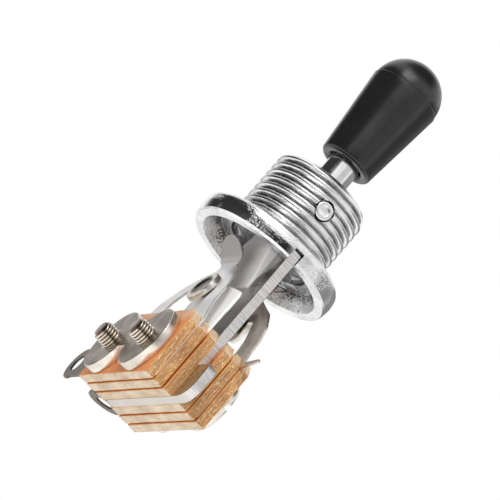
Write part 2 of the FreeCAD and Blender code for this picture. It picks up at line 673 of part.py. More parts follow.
doc.recompute()
for thing in doc.Objects:
    if "Invalid" in thing.State or "Error" in thing.State:
        raise SystemExit("failed object: %s %s" % (thing.Name, thing.State))
for piece in pieces:
    piece.Label = piece.Name
    shape = piece.Shape
    if shape.isNull() or not shape.isValid():
        raise SystemExit("bad shape: " + piece.Name)
    shape.exportStep("parts/%s.step" % piece.Name)
    print(piece.Name, len(shape.Solids), round(shape.Volume, 2))
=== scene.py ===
import bpy, bmesh
from math import acos, asin, copysign, cos, pi, radians, sin, tan
from mathutils import Matrix, Vector, noise


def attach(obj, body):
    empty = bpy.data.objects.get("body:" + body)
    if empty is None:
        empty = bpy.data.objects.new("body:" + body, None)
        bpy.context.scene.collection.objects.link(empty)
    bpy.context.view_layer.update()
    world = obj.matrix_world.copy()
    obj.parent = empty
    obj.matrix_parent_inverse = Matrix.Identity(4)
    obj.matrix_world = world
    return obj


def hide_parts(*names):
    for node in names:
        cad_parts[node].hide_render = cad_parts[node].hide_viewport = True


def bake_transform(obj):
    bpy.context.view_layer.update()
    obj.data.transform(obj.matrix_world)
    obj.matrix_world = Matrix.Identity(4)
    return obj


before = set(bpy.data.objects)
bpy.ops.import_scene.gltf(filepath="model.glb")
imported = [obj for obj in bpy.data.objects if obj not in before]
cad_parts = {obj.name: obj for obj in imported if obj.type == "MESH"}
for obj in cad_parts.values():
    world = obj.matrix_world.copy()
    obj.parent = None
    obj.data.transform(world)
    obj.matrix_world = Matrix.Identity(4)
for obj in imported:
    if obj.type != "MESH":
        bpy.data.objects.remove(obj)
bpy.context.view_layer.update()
print("frame loaded,", len(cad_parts), "nodes")

mm = 0.001  # every size below is in millimetres and scaled once, when a mesh is made

# places that several pieces share; bendFrom and bendTo mark where a spring's bend towards the lever would
# start and end
places = {"pinHigh": 5.2, "screwPitch": 9.65, "screwLow": -19.0, "screwHole": 1.71, "stackLow": -23.2,
          "contact": -8.9, "bendFrom": -9.6, "bendTo": -1.5}


# Shape helpers

def roundPath(points, closed=True, steps=5):
    # each point is (a, b) or (a, b, radius); corners with a radius are rounded
    path = []
    count = len(points)
    for index, point in enumerate(points):
        here = Vector(point[:2])
        radius = point[2] if len(point) > 2 else 0
        if radius <= 0 or (not closed and index in (0, count - 1)):
            path.append(tuple(here))
            continue
        before = Vector(points[index - 1][:2]) - here
        after = Vector(points[(index + 1) % count][:2]) - here
        most = 0.49 * min(before.length, after.length)
        reach = min(radius / tan(before.angle(after) / 2), most)
        start = here + before.normalized() * reach
        end = here + after.normalized() * reach
        for step in range(steps + 1):
            share = step / steps
            path.append(tuple(start * (1 - share) ** 2 + here * 2 * share * (1 - share) + end * share ** 2))
    return path


def mirrored(points):
    # the same points on the other side, in reverse order
    return [(-point[0], *point[1:]) for point in reversed(points)]


def bothSides(right, between=()):
    # a symmetrical outline from its right half; it starts with the left one of the two first points
    left = mirrored(right)
    return left[-1:] + right + list(between) + left[:-1]


def arcPoints(middle, radii, angles):
    return [(middle[0] + radii[0] * cos(a), middle[1] + radii[1] * sin(a)) for a in angles]


def circlePoints(middle, radius, sides):
    return arcPoints(middle, (radius, radius), [2 * pi * index / sides for index in range(sides)])


def span(low, high, count):
    return [low + (high - low) * index / (count - 1) for index in range(count)]


def smooth(value, low, high):
    share = min(1.0, max(0.0, (value - low) / (high - low)))
    return share * share * (3 - 2 * share)


def alongPath(path, position):
    # the value at a position of a path of (position, value) with rising positions
    for (low, first), (high, second) in zip(path, path[1:]):
        if position <= high:
            return first + (second - first) * (position - low) / max(high - low, 1e-9)
    return path[-1][1]


def threadWave(turns):
    # broad crests and narrow valleys, from 0 at the root to 1 at the crest
    return 1 - (0.5 + 0.5 * cos(2 * pi * turns)) ** 2.4


def newThing(name, data):
    thing = bpy.data.objects.new(name, data)
    bpy.context.scene.collection.objects.link(thing)
    return thing


def meshFrom(name, build, scale=mm):
    # the scaled mesh that a bmesh is written to
    mesh = bpy.data.meshes.new(name)
    bmesh.ops.recalc_face_normals(build, faces=build.faces)
    build.to_mesh(mesh)
    build.free()
    mesh.transform(Matrix.Scale(scale, 4))
    return mesh


def appliedMesh(thing):
    # a new mesh with everything that a thing's curve or modifiers make
    bpy.context.view_layer.update()
    return bpy.data.meshes.new_from_object(thing.evaluated_get(bpy.context.evaluated_depsgraph_get()))


def addChange(thing, kind, **settings):
    change = thing.modifiers.new(kind.lower(), kind)
    for key, value in settings.items():
        setattr(change, key, value)


def evenNormals(thing):
    # lets the large flat faces rule the shading beside small bevels
    addChange(thing, "WEIGHTED_NORMAL", weight=100, keep_sharp=True)


def finishMesh(name, build, material, body="housing", stands=(), sharp=35, cutters=(), sheet=None):
    # makes a piece, smooths it up to an angle and puts it on its body; a sheet gets its thickness here
    thing = newThing(name, meshFrom(name, build))
    for cutter in cutters:
        addChange(thing, "BOOLEAN", operation="DIFFERENCE", solver="EXACT", object=cutter)
    if sheet:
        addChange(thing, "SOLIDIFY", thickness=sheet["thick"] * mm, offset=0)
        addChange(thing, "BEVEL", width=sheet["edge"] * mm, segments=2, limit_method="ANGLE",
                  angle_limit=radians(50))
    if thing.modifiers:
        plain = thing.data
        changed = appliedMesh(thing)
        thing.modifiers.clear()
        thing.data = changed
        bpy.data.meshes.remove(plain)
        changed.name = name
    for cutter in cutters:
        bpy.data.objects.remove(cutter)
    mesh = thing.data
    mesh.shade_smooth()
    mesh.set_sharp_from_angle(angle=radians(sharp))
    mesh.materials.clear()
    mesh.materials.append(material)
    if body == "between":
        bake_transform(thing)
    else:
        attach(thing, body)
    if stands:
        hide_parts(*stands)
    return thing


def spinProfile(build, profile, segments, shape=None):
    # turns a profile of (radius, height) round Z; shape may move each point
    rings = []
    for radius, height in profile:
        if radius < 1e-6:
            rings.append([build.verts.new((0, 0, height))])
            continue
        ring = []
        for step in range(segments):
            angle = 2 * pi * step / segments
            r, z = (radius, height) if shape is None else shape(radius, height, angle)
            ring.append(build.verts.new((r * cos(angle), r * sin(angle), z)))
        rings.append(ring)
    return rings


def skinRings(build, rings, closed=False):
    pairs = list(zip(rings, rings[1:]))
    if closed:
        pairs.append((rings[-1], rings[0]))
    for low, high in pairs:
        count = max(len(low), len(high))
        for step in range(count):
            after = (step + 1) % count
            if len(low) == 1:
                build.faces.new((low[0], high[after], high[step]))
            elif len(high) == 1:
                build.faces.new((low[step], low[after], high[0]))
            else:
                build.faces.new((low[step], low[after], high[after], high[step]))


def turnedPiece(profile, segments, closed=False, shape=None):
    build = bmesh.new()
    skinRings(build, spinProfile(build, profile, segments, shape), closed)
    return build


def moveBuild(build, place, degrees=0.0, axis="X", verts=None):
    matrix = Matrix.Translation(place) @ Matrix.Rotation(radians(degrees), 4, axis)
    bmesh.ops.transform(build, matrix=matrix, verts=verts or build.verts)
    return build


def flatLoops(name, loops, depth=0.0, soft=0.0, softSteps=2):
    # a plate in the XZ plane from outlines of (x, z); the first is outside and the rest are holes
    curve = bpy.data.curves.new(name, "CURVE")
    curve.dimensions = "2D"
    curve.fill_mode = "BOTH"
    for loop in loops:
        spline = curve.splines.new("POLY")
        spline.points.add(len(loop) - 1)
        for point, (x, z) in zip(spline.points, loop):
            point.co = (x, z, 0, 1)
        spline.use_cyclic_u = True
    if depth:
        curve.extrude = depth / 2 - soft
        curve.bevel_depth = soft
        curve.bevel_resolution = softSteps
        curve.offset = -soft
    holder = newThing(name, curve)
    mesh = appliedMesh(holder)
    bpy.data.objects.remove(holder)
    bpy.data.curves.remove(curve)
    build = bmesh.new()
    build.from_mesh(mesh)
    bpy.data.meshes.remove(mesh)
    bmesh.ops.remove_doubles(build, verts=build.verts, dist=1e-5)
    turn = Matrix(((1, 0, 0, 0), (0, 0, -1, 0), (0, 1, 0, 0), (0, 0, 0, 1)))
    bmesh.ops.transform(build, matrix=turn, verts=build.verts)
    return build


def sliceAcross(build, axis, values):
    # adds edges where planes cross, so that a sheet can be bent there
    normal = Vector((0, 0, 0))
    normal[axis] = 1
    for value in values:
        everything = list(build.verts) + list(build.edges) + list(build.faces)
        bmesh.ops.bisect_plane(build, geom=everything, plane_co=normal * value, plane_no=normal)


def looseCutter(build):
    cutter = newThing("cutter", meshFrom("cutter", build))
    cutter.hide_render = True
    return cutter


def cutterBlock(low, high):
    build = bmesh.new()
    bmesh.ops.create_cube(build, size=1)
    size = Vector(high) - Vector(low)
    middle = (Vector(high) + Vector(low)) / 2
    bmesh.ops.transform(build, verts=build.verts,
                        matrix=Matrix.Translation(middle) @ Matrix.Diagonal((*size, 1)))
    return looseCutter(build)


def cutterRod(radius, half):
    # a rod along the pivot pin's line
    build = turnedPiece([(0, -half), (radius, -half), (radius, half), (0, half)], 48)
    return looseCutter(moveBuild(build, (0, 0, places["pinHigh"]), 90, "Y"))


def screwSpot(side):
    return side * places["screwPitch"] / 2, places["screwLow"]


def screwCircles(radius, sides=32):
    return [circlePoints(screwSpot(side), radius, sides) for side in (-1, 1)]


# Shared surface effects

def feed(inputs, **values):
    # sets or links inputs by name, with _ for a space, or by number as i0, i1 and so on
    for key, value in values.items():
        numbered = key[0] == "i" and key[1:].isdigit()
        socket = inputs[int(key[1:]) if numbered else key.replace("_", " ")]
        if isinstance(value, bpy.types.NodeSocket):
            socket.id_data.links.new(value, socket)
        else:
            socket.default_value = value


def node(tree, kind, settings=None, **values):
    made = tree.nodes.new("ShaderNode" + kind)
    for key, value in (settings or {}).items():
        setattr(made, key, value)
    feed(made.inputs, **values)
    return made


def treeOf(*values):
    # the node tree of the first socket among the values
    return next(value for value in values if isinstance(value, bpy.types.NodeSocket)).id_data


def mathNode(operation, *values):
    inputs = {"i" + str(index): value for index, value in enumerate(values)}
    return node(treeOf(*values), "Math", {"operation": operation}, **inputs).outputs[0]


def times(first, second):
    return mathNode("MULTIPLY", first, second)


def mixColour(share, first, second, blend="MIX"):
    return node(treeOf(share, first, second), "Mix", {"data_type": "RGBA", "blend_type": blend},
                i0=share, i6=first, i7=second).outputs[2]


def rangeOf(value, low, high, toLow=0.0, toHigh=1.0):
    return node(value.id_data, "MapRange", {"interpolation_type": "SMOOTHSTEP"}, Value=value,
                From_Min=low, From_Max=high, To_Min=toLow, To_Max=toHigh).outputs[0]


def noiseNode(point, scale, detail, roughness=0.5):
    return node(point.id_data, "TexNoise", Vector=point, Scale=scale, Detail=detail,
                Roughness=roughness).outputs[0]


def partsOf(vector):
    return node(vector.id_data, "SeparateXYZ", i0=vector).outputs


def distanceFrom(first, second):
    # distance from an axis, from the two measures across it
    flat = node(first.id_data, "CombineXYZ", X=first, Y=second)
    return node(first.id_data, "VectorMath", {"operation": "LENGTH"}, i0=flat.outputs[0]).outputs["Value"]


def surfaceFacing(point):
    # how much the surface faces X, Y and Z at a point, as three values from 0 to 1
    tree = point.id_data
    place = node(tree, "TexCoord")
    flat = node(tree, "VectorMath", {"operation": "ABSOLUTE"}, i0=place.outputs["Normal"])
    return partsOf(flat.outputs[0])


def newGroup(name, inputs, outputs):
    # a node group; the kind of an input follows from its value, and only Colour gives a colour
    kinds = {1: "NodeSocketFloat", 3: "NodeSocketVector", 4: "NodeSocketColor"}
    group = bpy.data.node_groups.new(name, "ShaderNodeTree")
    for socketName, value in inputs.items():
        kind = kinds[len(value) if isinstance(value, tuple) else 1]
        group.interface.new_socket(socketName, in_out="INPUT", socket_type=kind).default_value = value
    for socketName in outputs:
        kind = kinds[4 if socketName == "Colour" else 1]
        group.interface.new_socket(socketName, in_out="OUTPUT", socket_type=kind)
    return group, group.nodes.new("NodeGroupInput").outputs, group.nodes.new("NodeGroupOutput").inputs


def makeMottle():
    # soft clouds in a plated surface: a colour, a roughness and a height
    group, into, out = newGroup("platingMottle", {
        "Point": (0, 0, 0), "Scale": 1.0, "Dull": (0.6, 0.6, 0.6, 1), "Bright": (0.85, 0.85, 0.85, 1),
        "Smoothest": 0.1, "Roughest": 0.3}, ("Colour", "Roughness", "Height"))
    cloud = noiseNode(into["Point"], into["Scale"], 5.0, 0.6)
    share = rangeOf(cloud, 0.3, 0.7)
    spread = mathNode("SUBTRACT", into["Smoothest"], into["Roughest"])
    feed(out, Colour=mixColour(share, into["Dull"], into["Bright"]), Height=cloud,
         Roughness=mathNode("MULTIPLY_ADD", share, spread, into["Roughest"]))
    return group


def makeGrain():
    # lines drawn out along one direction, for sheared edges, rolled sheet and paper fibres
    group, into, out = newGroup("drawnGrain", {
        "Point": (0, 0, 0), "Stretch": (1, 1, 1), "Scale": 1.0, "Low": 0.35, "High": 0.65},
        ("Mask", "Height"))
    drawn = node(group, "VectorMath", {"operation": "MULTIPLY"}, i0=into["Point"], i1=into["Stretch"])
    lines = noiseNode(drawn.outputs[0], into["Scale"], 4.0, 0.65)
    feed(out, Mask=rangeOf(lines, into["Low"], into["High"]), Height=lines)
    return group


def makePits():
    # small cast pits, gathered in patches
    group, into, out = newGroup("castPits", {
        "Point": (0, 0, 0), "Scale": 6.0, "Patches": 0.4, "Amount": 0.5}, ("Mask", "Height"))
    cells = node(group, "TexVoronoi", Vector=into["Point"], Scale=into["Scale"])
    pits = rangeOf(cells.outputs["Distance"], 0.1, 0.55, 1.0, 0.0)
    low = mathNode("SUBTRACT", 0.85, times(into["Amount"], 0.6))
    patches = noiseNode(into["Point"], into["Patches"], 2.0)
    mask = times(pits, rangeOf(patches, low, mathNode("ADD", low, 0.12)))
    feed(out, Mask=mask, Height=mathNode("SUBTRACT", 1.0, mask))
    return group


platingMottle = makeMottle()
drawnGrain = makeGrain()
castPits = makePits()


def newMaterial(name, metallic, colour, roughness):
    # a material, its main shader's inputs and the place of each point in millimetres
    material = bpy.data.materials.new(name)
    material.use_nodes = True
    tree = material.node_tree
    shader = tree.nodes["Principled BSDF"].inputs
    feed(shader, Base_Color=(*colour, 1), Metallic=metallic, Roughness=roughness)
    place = node(tree, "TexCoord").outputs["Object"]
    point = node(tree, "VectorMath", {"operation": "SCALE"}, i0=place, Scale=1 / mm)
    return material, shader, point.outputs[0]


def useGroup(group, point, **values):
    made = point.id_data.nodes.new("ShaderNodeGroup")
    made.node_tree = group
    feed(made.inputs, Point=point, **values)
    return made.outputs


def addBump(shader, height, strength, distance):
    # comes on top of the bumps that the shader already has
    bump = node(height.id_data, "Bump", Strength=strength, Distance=distance * mm, Height=height)
    earlier = shader["Normal"].links
    if earlier:
        feed(bump.inputs, Normal=earlier[0].from_socket)
    feed(shader, Normal=bump.outputs[0])


# in the looks a pair is where an effect starts and where it is full, two more numbers are its levels
# there, and a bump is a strength and a height
chromeLook = {
    "mottle": {"Scale": 0.55, "Dull": (0.68, 0.68, 0.69, 1), "Bright": (0.88, 0.88, 0.885, 1),
               "Smoothest": 0.04, "Roughest": 0.09},
    "pits": {"Scale": 5.5, "Patches": 0.22, "Amount": 0.75},
    "turned": {"Stretch": (0.12, 0.12, 7.0), "Scale": 1.0, "Low": 0.3, "High": 0.7},
    "grit": {"scale": 6.0, "detail": 3.0, "roughness": 0.7}, "patch": {"scale": 0.4, "detail": 2.0},
    "recessHigh": (-0.25, -0.95), "recessWide": (7.95, 7.6), "recessRough": 0.03,
    "gritLevel": (6.5, 7.5, 0.39, 0.58), "gritEdge": (0.0, 0.03), "patchEdge": (0.3, 0.5),
    "recessShadeWide": (6.9, 6.5), "recessShadeSide": (2.0, -1.0, 0.25, 0.8), "stainAndShade": (0.07, 0.066, 0.062, 1),
    "barrelLow": (0.15, 0.4), "barrelHigh": (8.5, 8.25), "barrelRough": 0.13,
    "rootOut": (5.72, 5.5), "rootIn": (5.3, 5.38), "grooveShade": (0.42, 0.41, 0.405, 1), "outside": (6.5, 7.0),
    "mottleBump": (0.12, 0.02), "turnedBump": (0.8, 0.06), "pitBump": (0.7, 0.035), "gritBump": (0.8, 0.04),
    "gritInside": 0.9, "gritOutside": 0.25}


def makeCastChrome():
    # plated casting: bright outside, grainy and mottled inside the recess, with painted shade in the
    # recess's well and in the thread roots
    look = chromeLook
    material, shader, point = newMaterial("castChrome", 1.0, look["mottle"]["Bright"][:3], 0.15)
    mottle = useGroup(platingMottle, point, **look["mottle"])
    pits = useGroup(castPits, point, **look["pits"])
    turned = useGroup(drawnGrain, point, **look["turned"])
    parts = partsOf(point)
    radius = distanceFrom(parts["X"], parts["Y"])

    def within(value, first, second):
        return times(rangeOf(value, *look[first]), rangeOf(radius, *look[second]))

    inside = within(parts["Z"], "recessHigh", "recessWide")
    grit = noiseNode(point, **look["grit"])
    above = mathNode("SUBTRACT", grit, rangeOf(radius, *look["gritLevel"]))
    patch = rangeOf(noiseNode(point, **look["patch"]), *look["patchEdge"])
    speckle = times(patch, rangeOf(above, *look["gritEdge"]))
    # painted shade: the recess's well is darkened, most on its -Y side; the same dark colour also goes on
    # the grit's specks
    deep = within(parts["Y"], "recessShadeSide", "recessShadeWide")
    speckle = times(inside, mathNode("MAXIMUM", speckle, deep))
    colour = mixColour(speckle, mottle["Colour"], look["stainAndShade"])
    barrel = times(rangeOf(parts["Z"], *look["barrelLow"]),
                   rangeOf(parts["Z"], *look["barrelHigh"]))
    # painted shade: the thread roots are darkened
    rootShade = times(barrel, within(radius, "rootOut", "rootIn"))
    rough = mathNode("MULTIPLY_ADD", inside, look["recessRough"], mottle["Roughness"])
    feed(shader, Base_Color=mixColour(rootShade, colour, look["grooveShade"]),
         Roughness=mathNode("MULTIPLY_ADD", barrel, look["barrelRough"], rough))
    outer = rangeOf(radius, *look["outside"])
    addBump(shader, mottle["Height"], *look["mottleBump"])
    addBump(shader, times(turned["Height"], barrel), *look["turnedBump"])
    addBump(shader, times(pits["Height"], outer), *look["pitBump"])
    share = mathNode("MULTIPLY_ADD", inside, look["gritInside"], look["gritOutside"])
    addBump(shader, times(grit, times(share, outer)), *look["gritBump"])
    return material


frameLook = {
    "mottle": {"Scale": 0.5, "Dull": (0.44, 0.43, 0.42, 1), "Bright": (0.60, 0.59, 0.57, 1),
               "Smoothest": 0.12, "Roughest": 0.26},
    "shear": {"Stretch": (3.6, 0.12, 3.6), "Scale": 1.6, "Low": 0.38, "High": 0.62},
    "edge": (0.86, 0.85, 0.83, 1), "below": (0.66, 0.61, 0.55, 1), "marks": (0.62, 0.60, 0.57, 1),
    "edgeFacing": (0.85, 0.5), "belowFacing": (0.5, 0.9), "markFacing": (0.9, 0.3, 0.25, 1.0),
    "bumpFacing": (0.9, 0.3, 0.2, 1.0), "edgeRough": 0.2, "edgeBump": (0.9, 0.09)}


def makeFramePlate():
    # bright plated faces and edges with shear marks that cross the thickness
    look = frameLook
    material, shader, point = newMaterial("framePlating", 1.0, look["edge"][:3], 0.2)
    mottle = useGroup(platingMottle, point, **look["mottle"])
    shear = useGroup(drawnGrain, point, **look["shear"])
    facing = surfaceFacing(point)
    edge = rangeOf(facing["Y"], *look["edgeFacing"])
    marks = times(shear["Mask"], rangeOf(facing["Z"], *look["markFacing"]))
    tone = mixColour(rangeOf(facing["Z"], *look["belowFacing"]), look["edge"], look["below"])
    tone = mixColour(marks, tone, look["marks"])
    feed(shader, Base_Color=mixColour(edge, mottle["Colour"], tone),
         Roughness=mathNode("MULTIPLY_ADD", edge, look["edgeRough"], mottle["Roughness"]))
    sideways = times(edge, rangeOf(facing["Z"], *look["bumpFacing"]))
    addBump(shader, times(shear["Height"], sideways), *look["edgeBump"])
    return material


# the marks say which effect tints a surface, how much, and with which tone
boardLook = {
    "face": (0.74, 0.27, 0.09, 1), "facePale": (0.72, 0.46, 0.30, 1), "palerFrom": (-16.2, -14.3),
    "end": (0.80, 0.47, 0.175, 1), "endDark": (0.36, 0.16, 0.08, 1), "endPale": (0.97, 0.80, 0.52, 1),
    "cut": (0.98, 0.87, 0.70, 1), "cutDark": (0.74, 0.46, 0.24, 1),
    "skin": (0.83, 0.40, 0.08, 1), "skinDeep": (0.46, 0.58), "first": 1.175, "pitch": 1.4,
    "layers": {"Stretch": (0.45, 7.0, 0.45), "Scale": 1.0, "Low": 0.4, "High": 0.6},
    "fibres": {"Stretch": (1.7, 8.0, 1.7), "Scale": 1.6, "Low": 0.45, "High": 0.6},
    "chips": {"Stretch": (2.0, 5.0, 2.0), "Scale": 1.2, "Low": 0.57, "High": 0.64},
    "specks": {"Scale": 2.4, "Patches": 0.9, "Amount": 0.7},
    "clouds": {"Scale": 0.3, "Dull": (0.84, 0.79, 0.74, 1), "Bright": (1.08, 1.06, 1.04, 1),
               "Smoothest": 0.45, "Roughest": 0.7},
    "endMarks": [("layers", 0.85, "endDark"), ("fibres", 0.6, "endDark"), ("chips", 0.9, "endPale")],
    "cutMarks": [("layers", 0.4, "cutDark"), ("fibres", 0.25, "cutDark"), ("specks", 0.7, "cutDark")],
    "faceMarks": [("fibres", 0.2, "endDark")],
    "facing": (0.55, 0.85), "layerBump": (0.7, 0.1), "fibreBump": (0.6, 0.07)}


def makeBoardMaterial():
    # paper-based laminate: reddish faces, layered tan ends and pale sawn undersides
    look = boardLook
    material, shader, point = newMaterial("paperLaminate", 0.0, look["end"][:3], 0.6)
    effects = {name: useGroup(drawnGrain, point, **look[name])
               for name in ("layers", "fibres", "chips")}
    effects["specks"] = useGroup(castPits, point, **look["specks"])
    clouds = useGroup(platingMottle, point, **look["clouds"])
    facing = surfaceFacing(point)
    parts = partsOf(point)

    def marked(colour, marks):
        for effect, share, tone in look[marks]:
            colour = mixColour(times(effects[effect]["Mask"], share), colour, look[tone])
        return colour

    fromFirst = mathNode("SUBTRACT", mathNode("ABSOLUTE", parts["Y"]), look["first"])
    skin = rangeOf(mathNode("PINGPONG", fromFirst, look["pitch"] / 2), *look["skinDeep"])
    colour = mixColour(rangeOf(facing["Z"], *look["facing"]), marked(look["end"], "endMarks"),
                       marked(look["cut"], "cutMarks"))
    colour = mixColour(skin, colour, look["skin"])
    face = mixColour(rangeOf(parts["Z"], *look["palerFrom"]), look["face"], look["facePale"])
    colour = mixColour(rangeOf(facing["Y"], *look["facing"]), colour, marked(face, "faceMarks"))
    feed(shader, Base_Color=mixColour(1.0, colour, clouds["Colour"], "MULTIPLY"),
         Roughness=clouds["Roughness"])
    addBump(shader, effects["layers"]["Height"], *look["layerBump"])
    addBump(shader, effects["fibres"]["Height"], *look["fibreBump"])
    return material


tipLook = {"colour": (0.011, 0.011, 0.012), "roughness": 0.2, "bump": (0.2, 0.04),
           "mottle": {"Scale": 0.35, "Dull": (0.008, 0.008, 0.0085, 1), "Bright": (0.015, 0.0148, 0.0152, 1),
                      "Smoothest": 0.16, "Roughest": 0.3},
           "gloss": {"Coat_Weight": 0.14, "Coat_Roughness": 0.25, "Specular_IOR_Level": 0.48}}
# the foot's near-white mottle makes up for the shade it stands in, so that it renders mid-grey: painted
# light
footLook = {"colour": (0.55, 0.54, 0.535), "roughness": 0.4, "bump": (0.2, 0.02),
            "mottle": {"Scale": 0.4, "Dull": (0.93, 0.92, 0.91, 1), "Bright": (0.97, 0.96, 0.95, 1),
                       "Smoothest": 0.42, "Roughest": 0.55},
            "gloss": {}}


def makeMoulding(name, look):
    # moulded plastic with a slightly uneven skin
    material, shader, point = newMaterial(name, 0.0, look["colour"], look["roughness"])
    mottle = useGroup(platingMottle, point, **look["mottle"])
    feed(shader, Base_Color=mottle["Colour"], Roughness=mottle["Roughness"], **look["gloss"])
    addBump(shader, mottle["Height"], *look["bump"])
    return material


# lug tarnish, and painted shade on the springs' tongues, the rivet's dish and the screws' thread grooves,
# and a painted reflection on the clamp's flat faces
tarnishAndShade = {"lugOut": (-9.3, -9.8), "lugLow": (-13.8, -14.6), "tongue": (-4.95, -4.6), "tongueShadeShare": 0.5,
           "lugTarnishAndTongueShade": (0.115, 0.082, 0.06), "face": (0.93, 0.99), "faceShadeTone": (0.28, 0.24, 0.185),
           "dish": (1.6, 1.35), "dishShadeTone": (0.13, 0.115, 0.085), "grooveShade": (1.16, 1.02),
           "grooveFront": (-5.6, -5.8), "grooveShadeTone": (0.26, 0.20, 0.15)}


def shadeLugs(point):
    # tarnish on what stands out of the stack sideways, and painted shade at half strength on the tongue
    parts = partsOf(point)
    lug = times(rangeOf(parts["X"], *tarnishAndShade["lugOut"]),
                rangeOf(parts["Z"], *tarnishAndShade["lugLow"]))
    # painted shade on the tongue above the knee
    tongue = times(rangeOf(parts["Z"], *tarnishAndShade["tongue"]), tarnishAndShade["tongueShadeShare"])
    return mathNode("MAXIMUM", lug, tongue), tarnishAndShade["lugTarnishAndTongueShade"]


def shadeFace(point):
    # painted reflection: the flat faces get a darker tone, while the edges keep the brighter one
    return rangeOf(surfaceFacing(point)["Y"], *tarnishAndShade["face"]), tarnishAndShade["faceShadeTone"]


def shadeDish(point):
    # painted shade and dark reflection: the dished middle of the rivet's head is darkened
    parts = partsOf(point)
    radius = distanceFrom(parts["X"], mathNode("SUBTRACT", parts["Z"], places["contact"]))
    return rangeOf(radius, *tarnishAndShade["dish"]), tarnishAndShade["dishShadeTone"]


def shadeGrooves(point):
    # painted shade in the screws' thread grooves, on their front part
    parts = partsOf(point)
    across = mathNode("SUBTRACT", mathNode("ABSOLUTE", parts["X"]), places["screwPitch"] / 2)
    radius = distanceFrom(across, mathNode("SUBTRACT", parts["Z"], places["screwLow"]))
    front = rangeOf(parts["Y"], *tarnishAndShade["grooveFront"])
    return times(rangeOf(radius, *tarnishAndShade["grooveShade"]), front), tarnishAndShade["grooveShadeTone"]


rolled = {"clouds": 0.25, "stretch": (1, 1, 0.1), "grain": 1.2, "bump": 0.004, "shade": shadeLugs}
metalLooks = {
    "shaftChrome": {"dull": (0.74, 0.74, 0.74), "bright": (0.9, 0.9, 0.9), "rough": (0.06, 0.16),
                    "clouds": 0.6, "stretch": (1, 1, 0.2), "grain": 2.0},
    "pinSteel": {"dull": (0.86, 0.86, 0.88), "bright": (0.97, 0.97, 0.98), "rough": (0.16, 0.28),
                 "clouds": 1.4, "bump": 0.03},
    "springMetal": {"dull": (0.86, 0.85, 0.84), "bright": (0.93, 0.92, 0.91), "rough": (0.28, 0.34),
                    **rolled},
    # the same spring metal made darker for the rear spring: painted shade
    "rearSpringShadedMetal": {"dull": (0.56, 0.49, 0.42), "bright": (0.68, 0.60, 0.52), "rough": (0.22, 0.3),
                        **rolled},
    # near-white and hardly metallic, so that it looks bright without mirroring anything: painted reflection
    # of white surroundings
    "fixedLeafMetal": {"dull": (0.97, 0.96, 0.945), "bright": (1.0, 0.99, 0.975), "rough": (0.35, 0.45),
                       "metallic": 0.05, **rolled},
    "contactMetal": {"dull": (0.60, 0.58, 0.53), "bright": (0.85, 0.83, 0.79), "rough": (0.26, 0.38),
                     "clouds": 1.0, "shade": shadeDish},
    "clampMetal": {"dull": (0.66, 0.60, 0.52), "bright": (0.86, 0.80, 0.72), "rough": (0.24, 0.36),
                   "clouds": 0.5, "shade": shadeFace},
    "screwMetal": {"dull": (0.72, 0.64, 0.55), "bright": (0.92, 0.86, 0.78), "rough": (0.16, 0.3),
                   "clouds": 0.9, "shade": shadeGrooves},
    "sleeveTube": {"dull": (0.55, 0.45, 0.35), "bright": (0.75, 0.66, 0.52), "rough": (0.4, 0.6),
                   "clouds": 0.6, "grain": 2.0, "bump": 0.03, "metallic": 0.0}}


def makeMetal(name, dull, bright, rough, clouds, stretch=(1, 1, 1), grain=3.0, bump=0.01, metallic=1.0,
              shade=None):
    # plated or rolled metal with clouds and a light grain; shade darkens part of it by its place
    material, shader, point = newMaterial(name, metallic, bright, 0.2)
    mottle = useGroup(platingMottle, point, Scale=clouds, Dull=(*dull, 1), Bright=(*bright, 1),
                      Smoothest=rough[0], Roughest=rough[1])
    lines = useGroup(drawnGrain, point, Stretch=stretch, Scale=grain, Low=0.3, High=0.7)
    colour = mottle["Colour"]
    if shade:
        share, tone = shade(point)
        colour = mixColour(share, colour, (*tone, 1))
    feed(shader, Base_Color=colour, Roughness=mottle["Roughness"])
    addBump(shader, lines["Height"], 0.5, bump)
    return material


castChrome = makeCastChrome()
framePlating = makeFramePlate()
paperLaminate = makeBoardMaterial()
glossBlack = makeMoulding("glossBlack", tipLook)
greyMoulding = makeMoulding("greyMoulding", footLook)
metals = {name: makeMetal(name, **look) for name, look in metalLooks.items()}
print("materials made")


# Collar

collar = {"barrel": 6.0, "root": 5.45, "top": 8.9, "chamfer": 0.5, "pitch": 1.0, "flange": 9.125,
          "deep": 2.6, "bulge": 0.16, "soft": 0.62, "rimBevel": 0.3, "rim": 7.75, "recess": -0.85,
          "slope": 1.25, "mouth": 3.325, "bore": 3.85, "lip": 7.7, "well": 5.1, "wellTop": 1.6,
          "pinHole": 1.21, "slotHalf": 0.63, "slotTop": -1.17, "threadInside": 5.3, "threadLow": 0.28,
          "threadRise": (0.3, 0.75), "threadFall": (8.4, 8.75)}


def collarShape(radius, height, angle):
    # cuts the thread into the barrel's outer wall only
    c = collar
    if radius < c["threadInside"] or height < c["threadLow"]:
        return radius, height
    fade = smooth(height, *c["threadRise"]) * (1 - smooth(height, *c["threadFall"]))
    wave = threadWave(height / c["pitch"] - angle / (2 * pi))
    return radius - (c["barrel"] - c["root"]) * (1 - wave) * fade, height


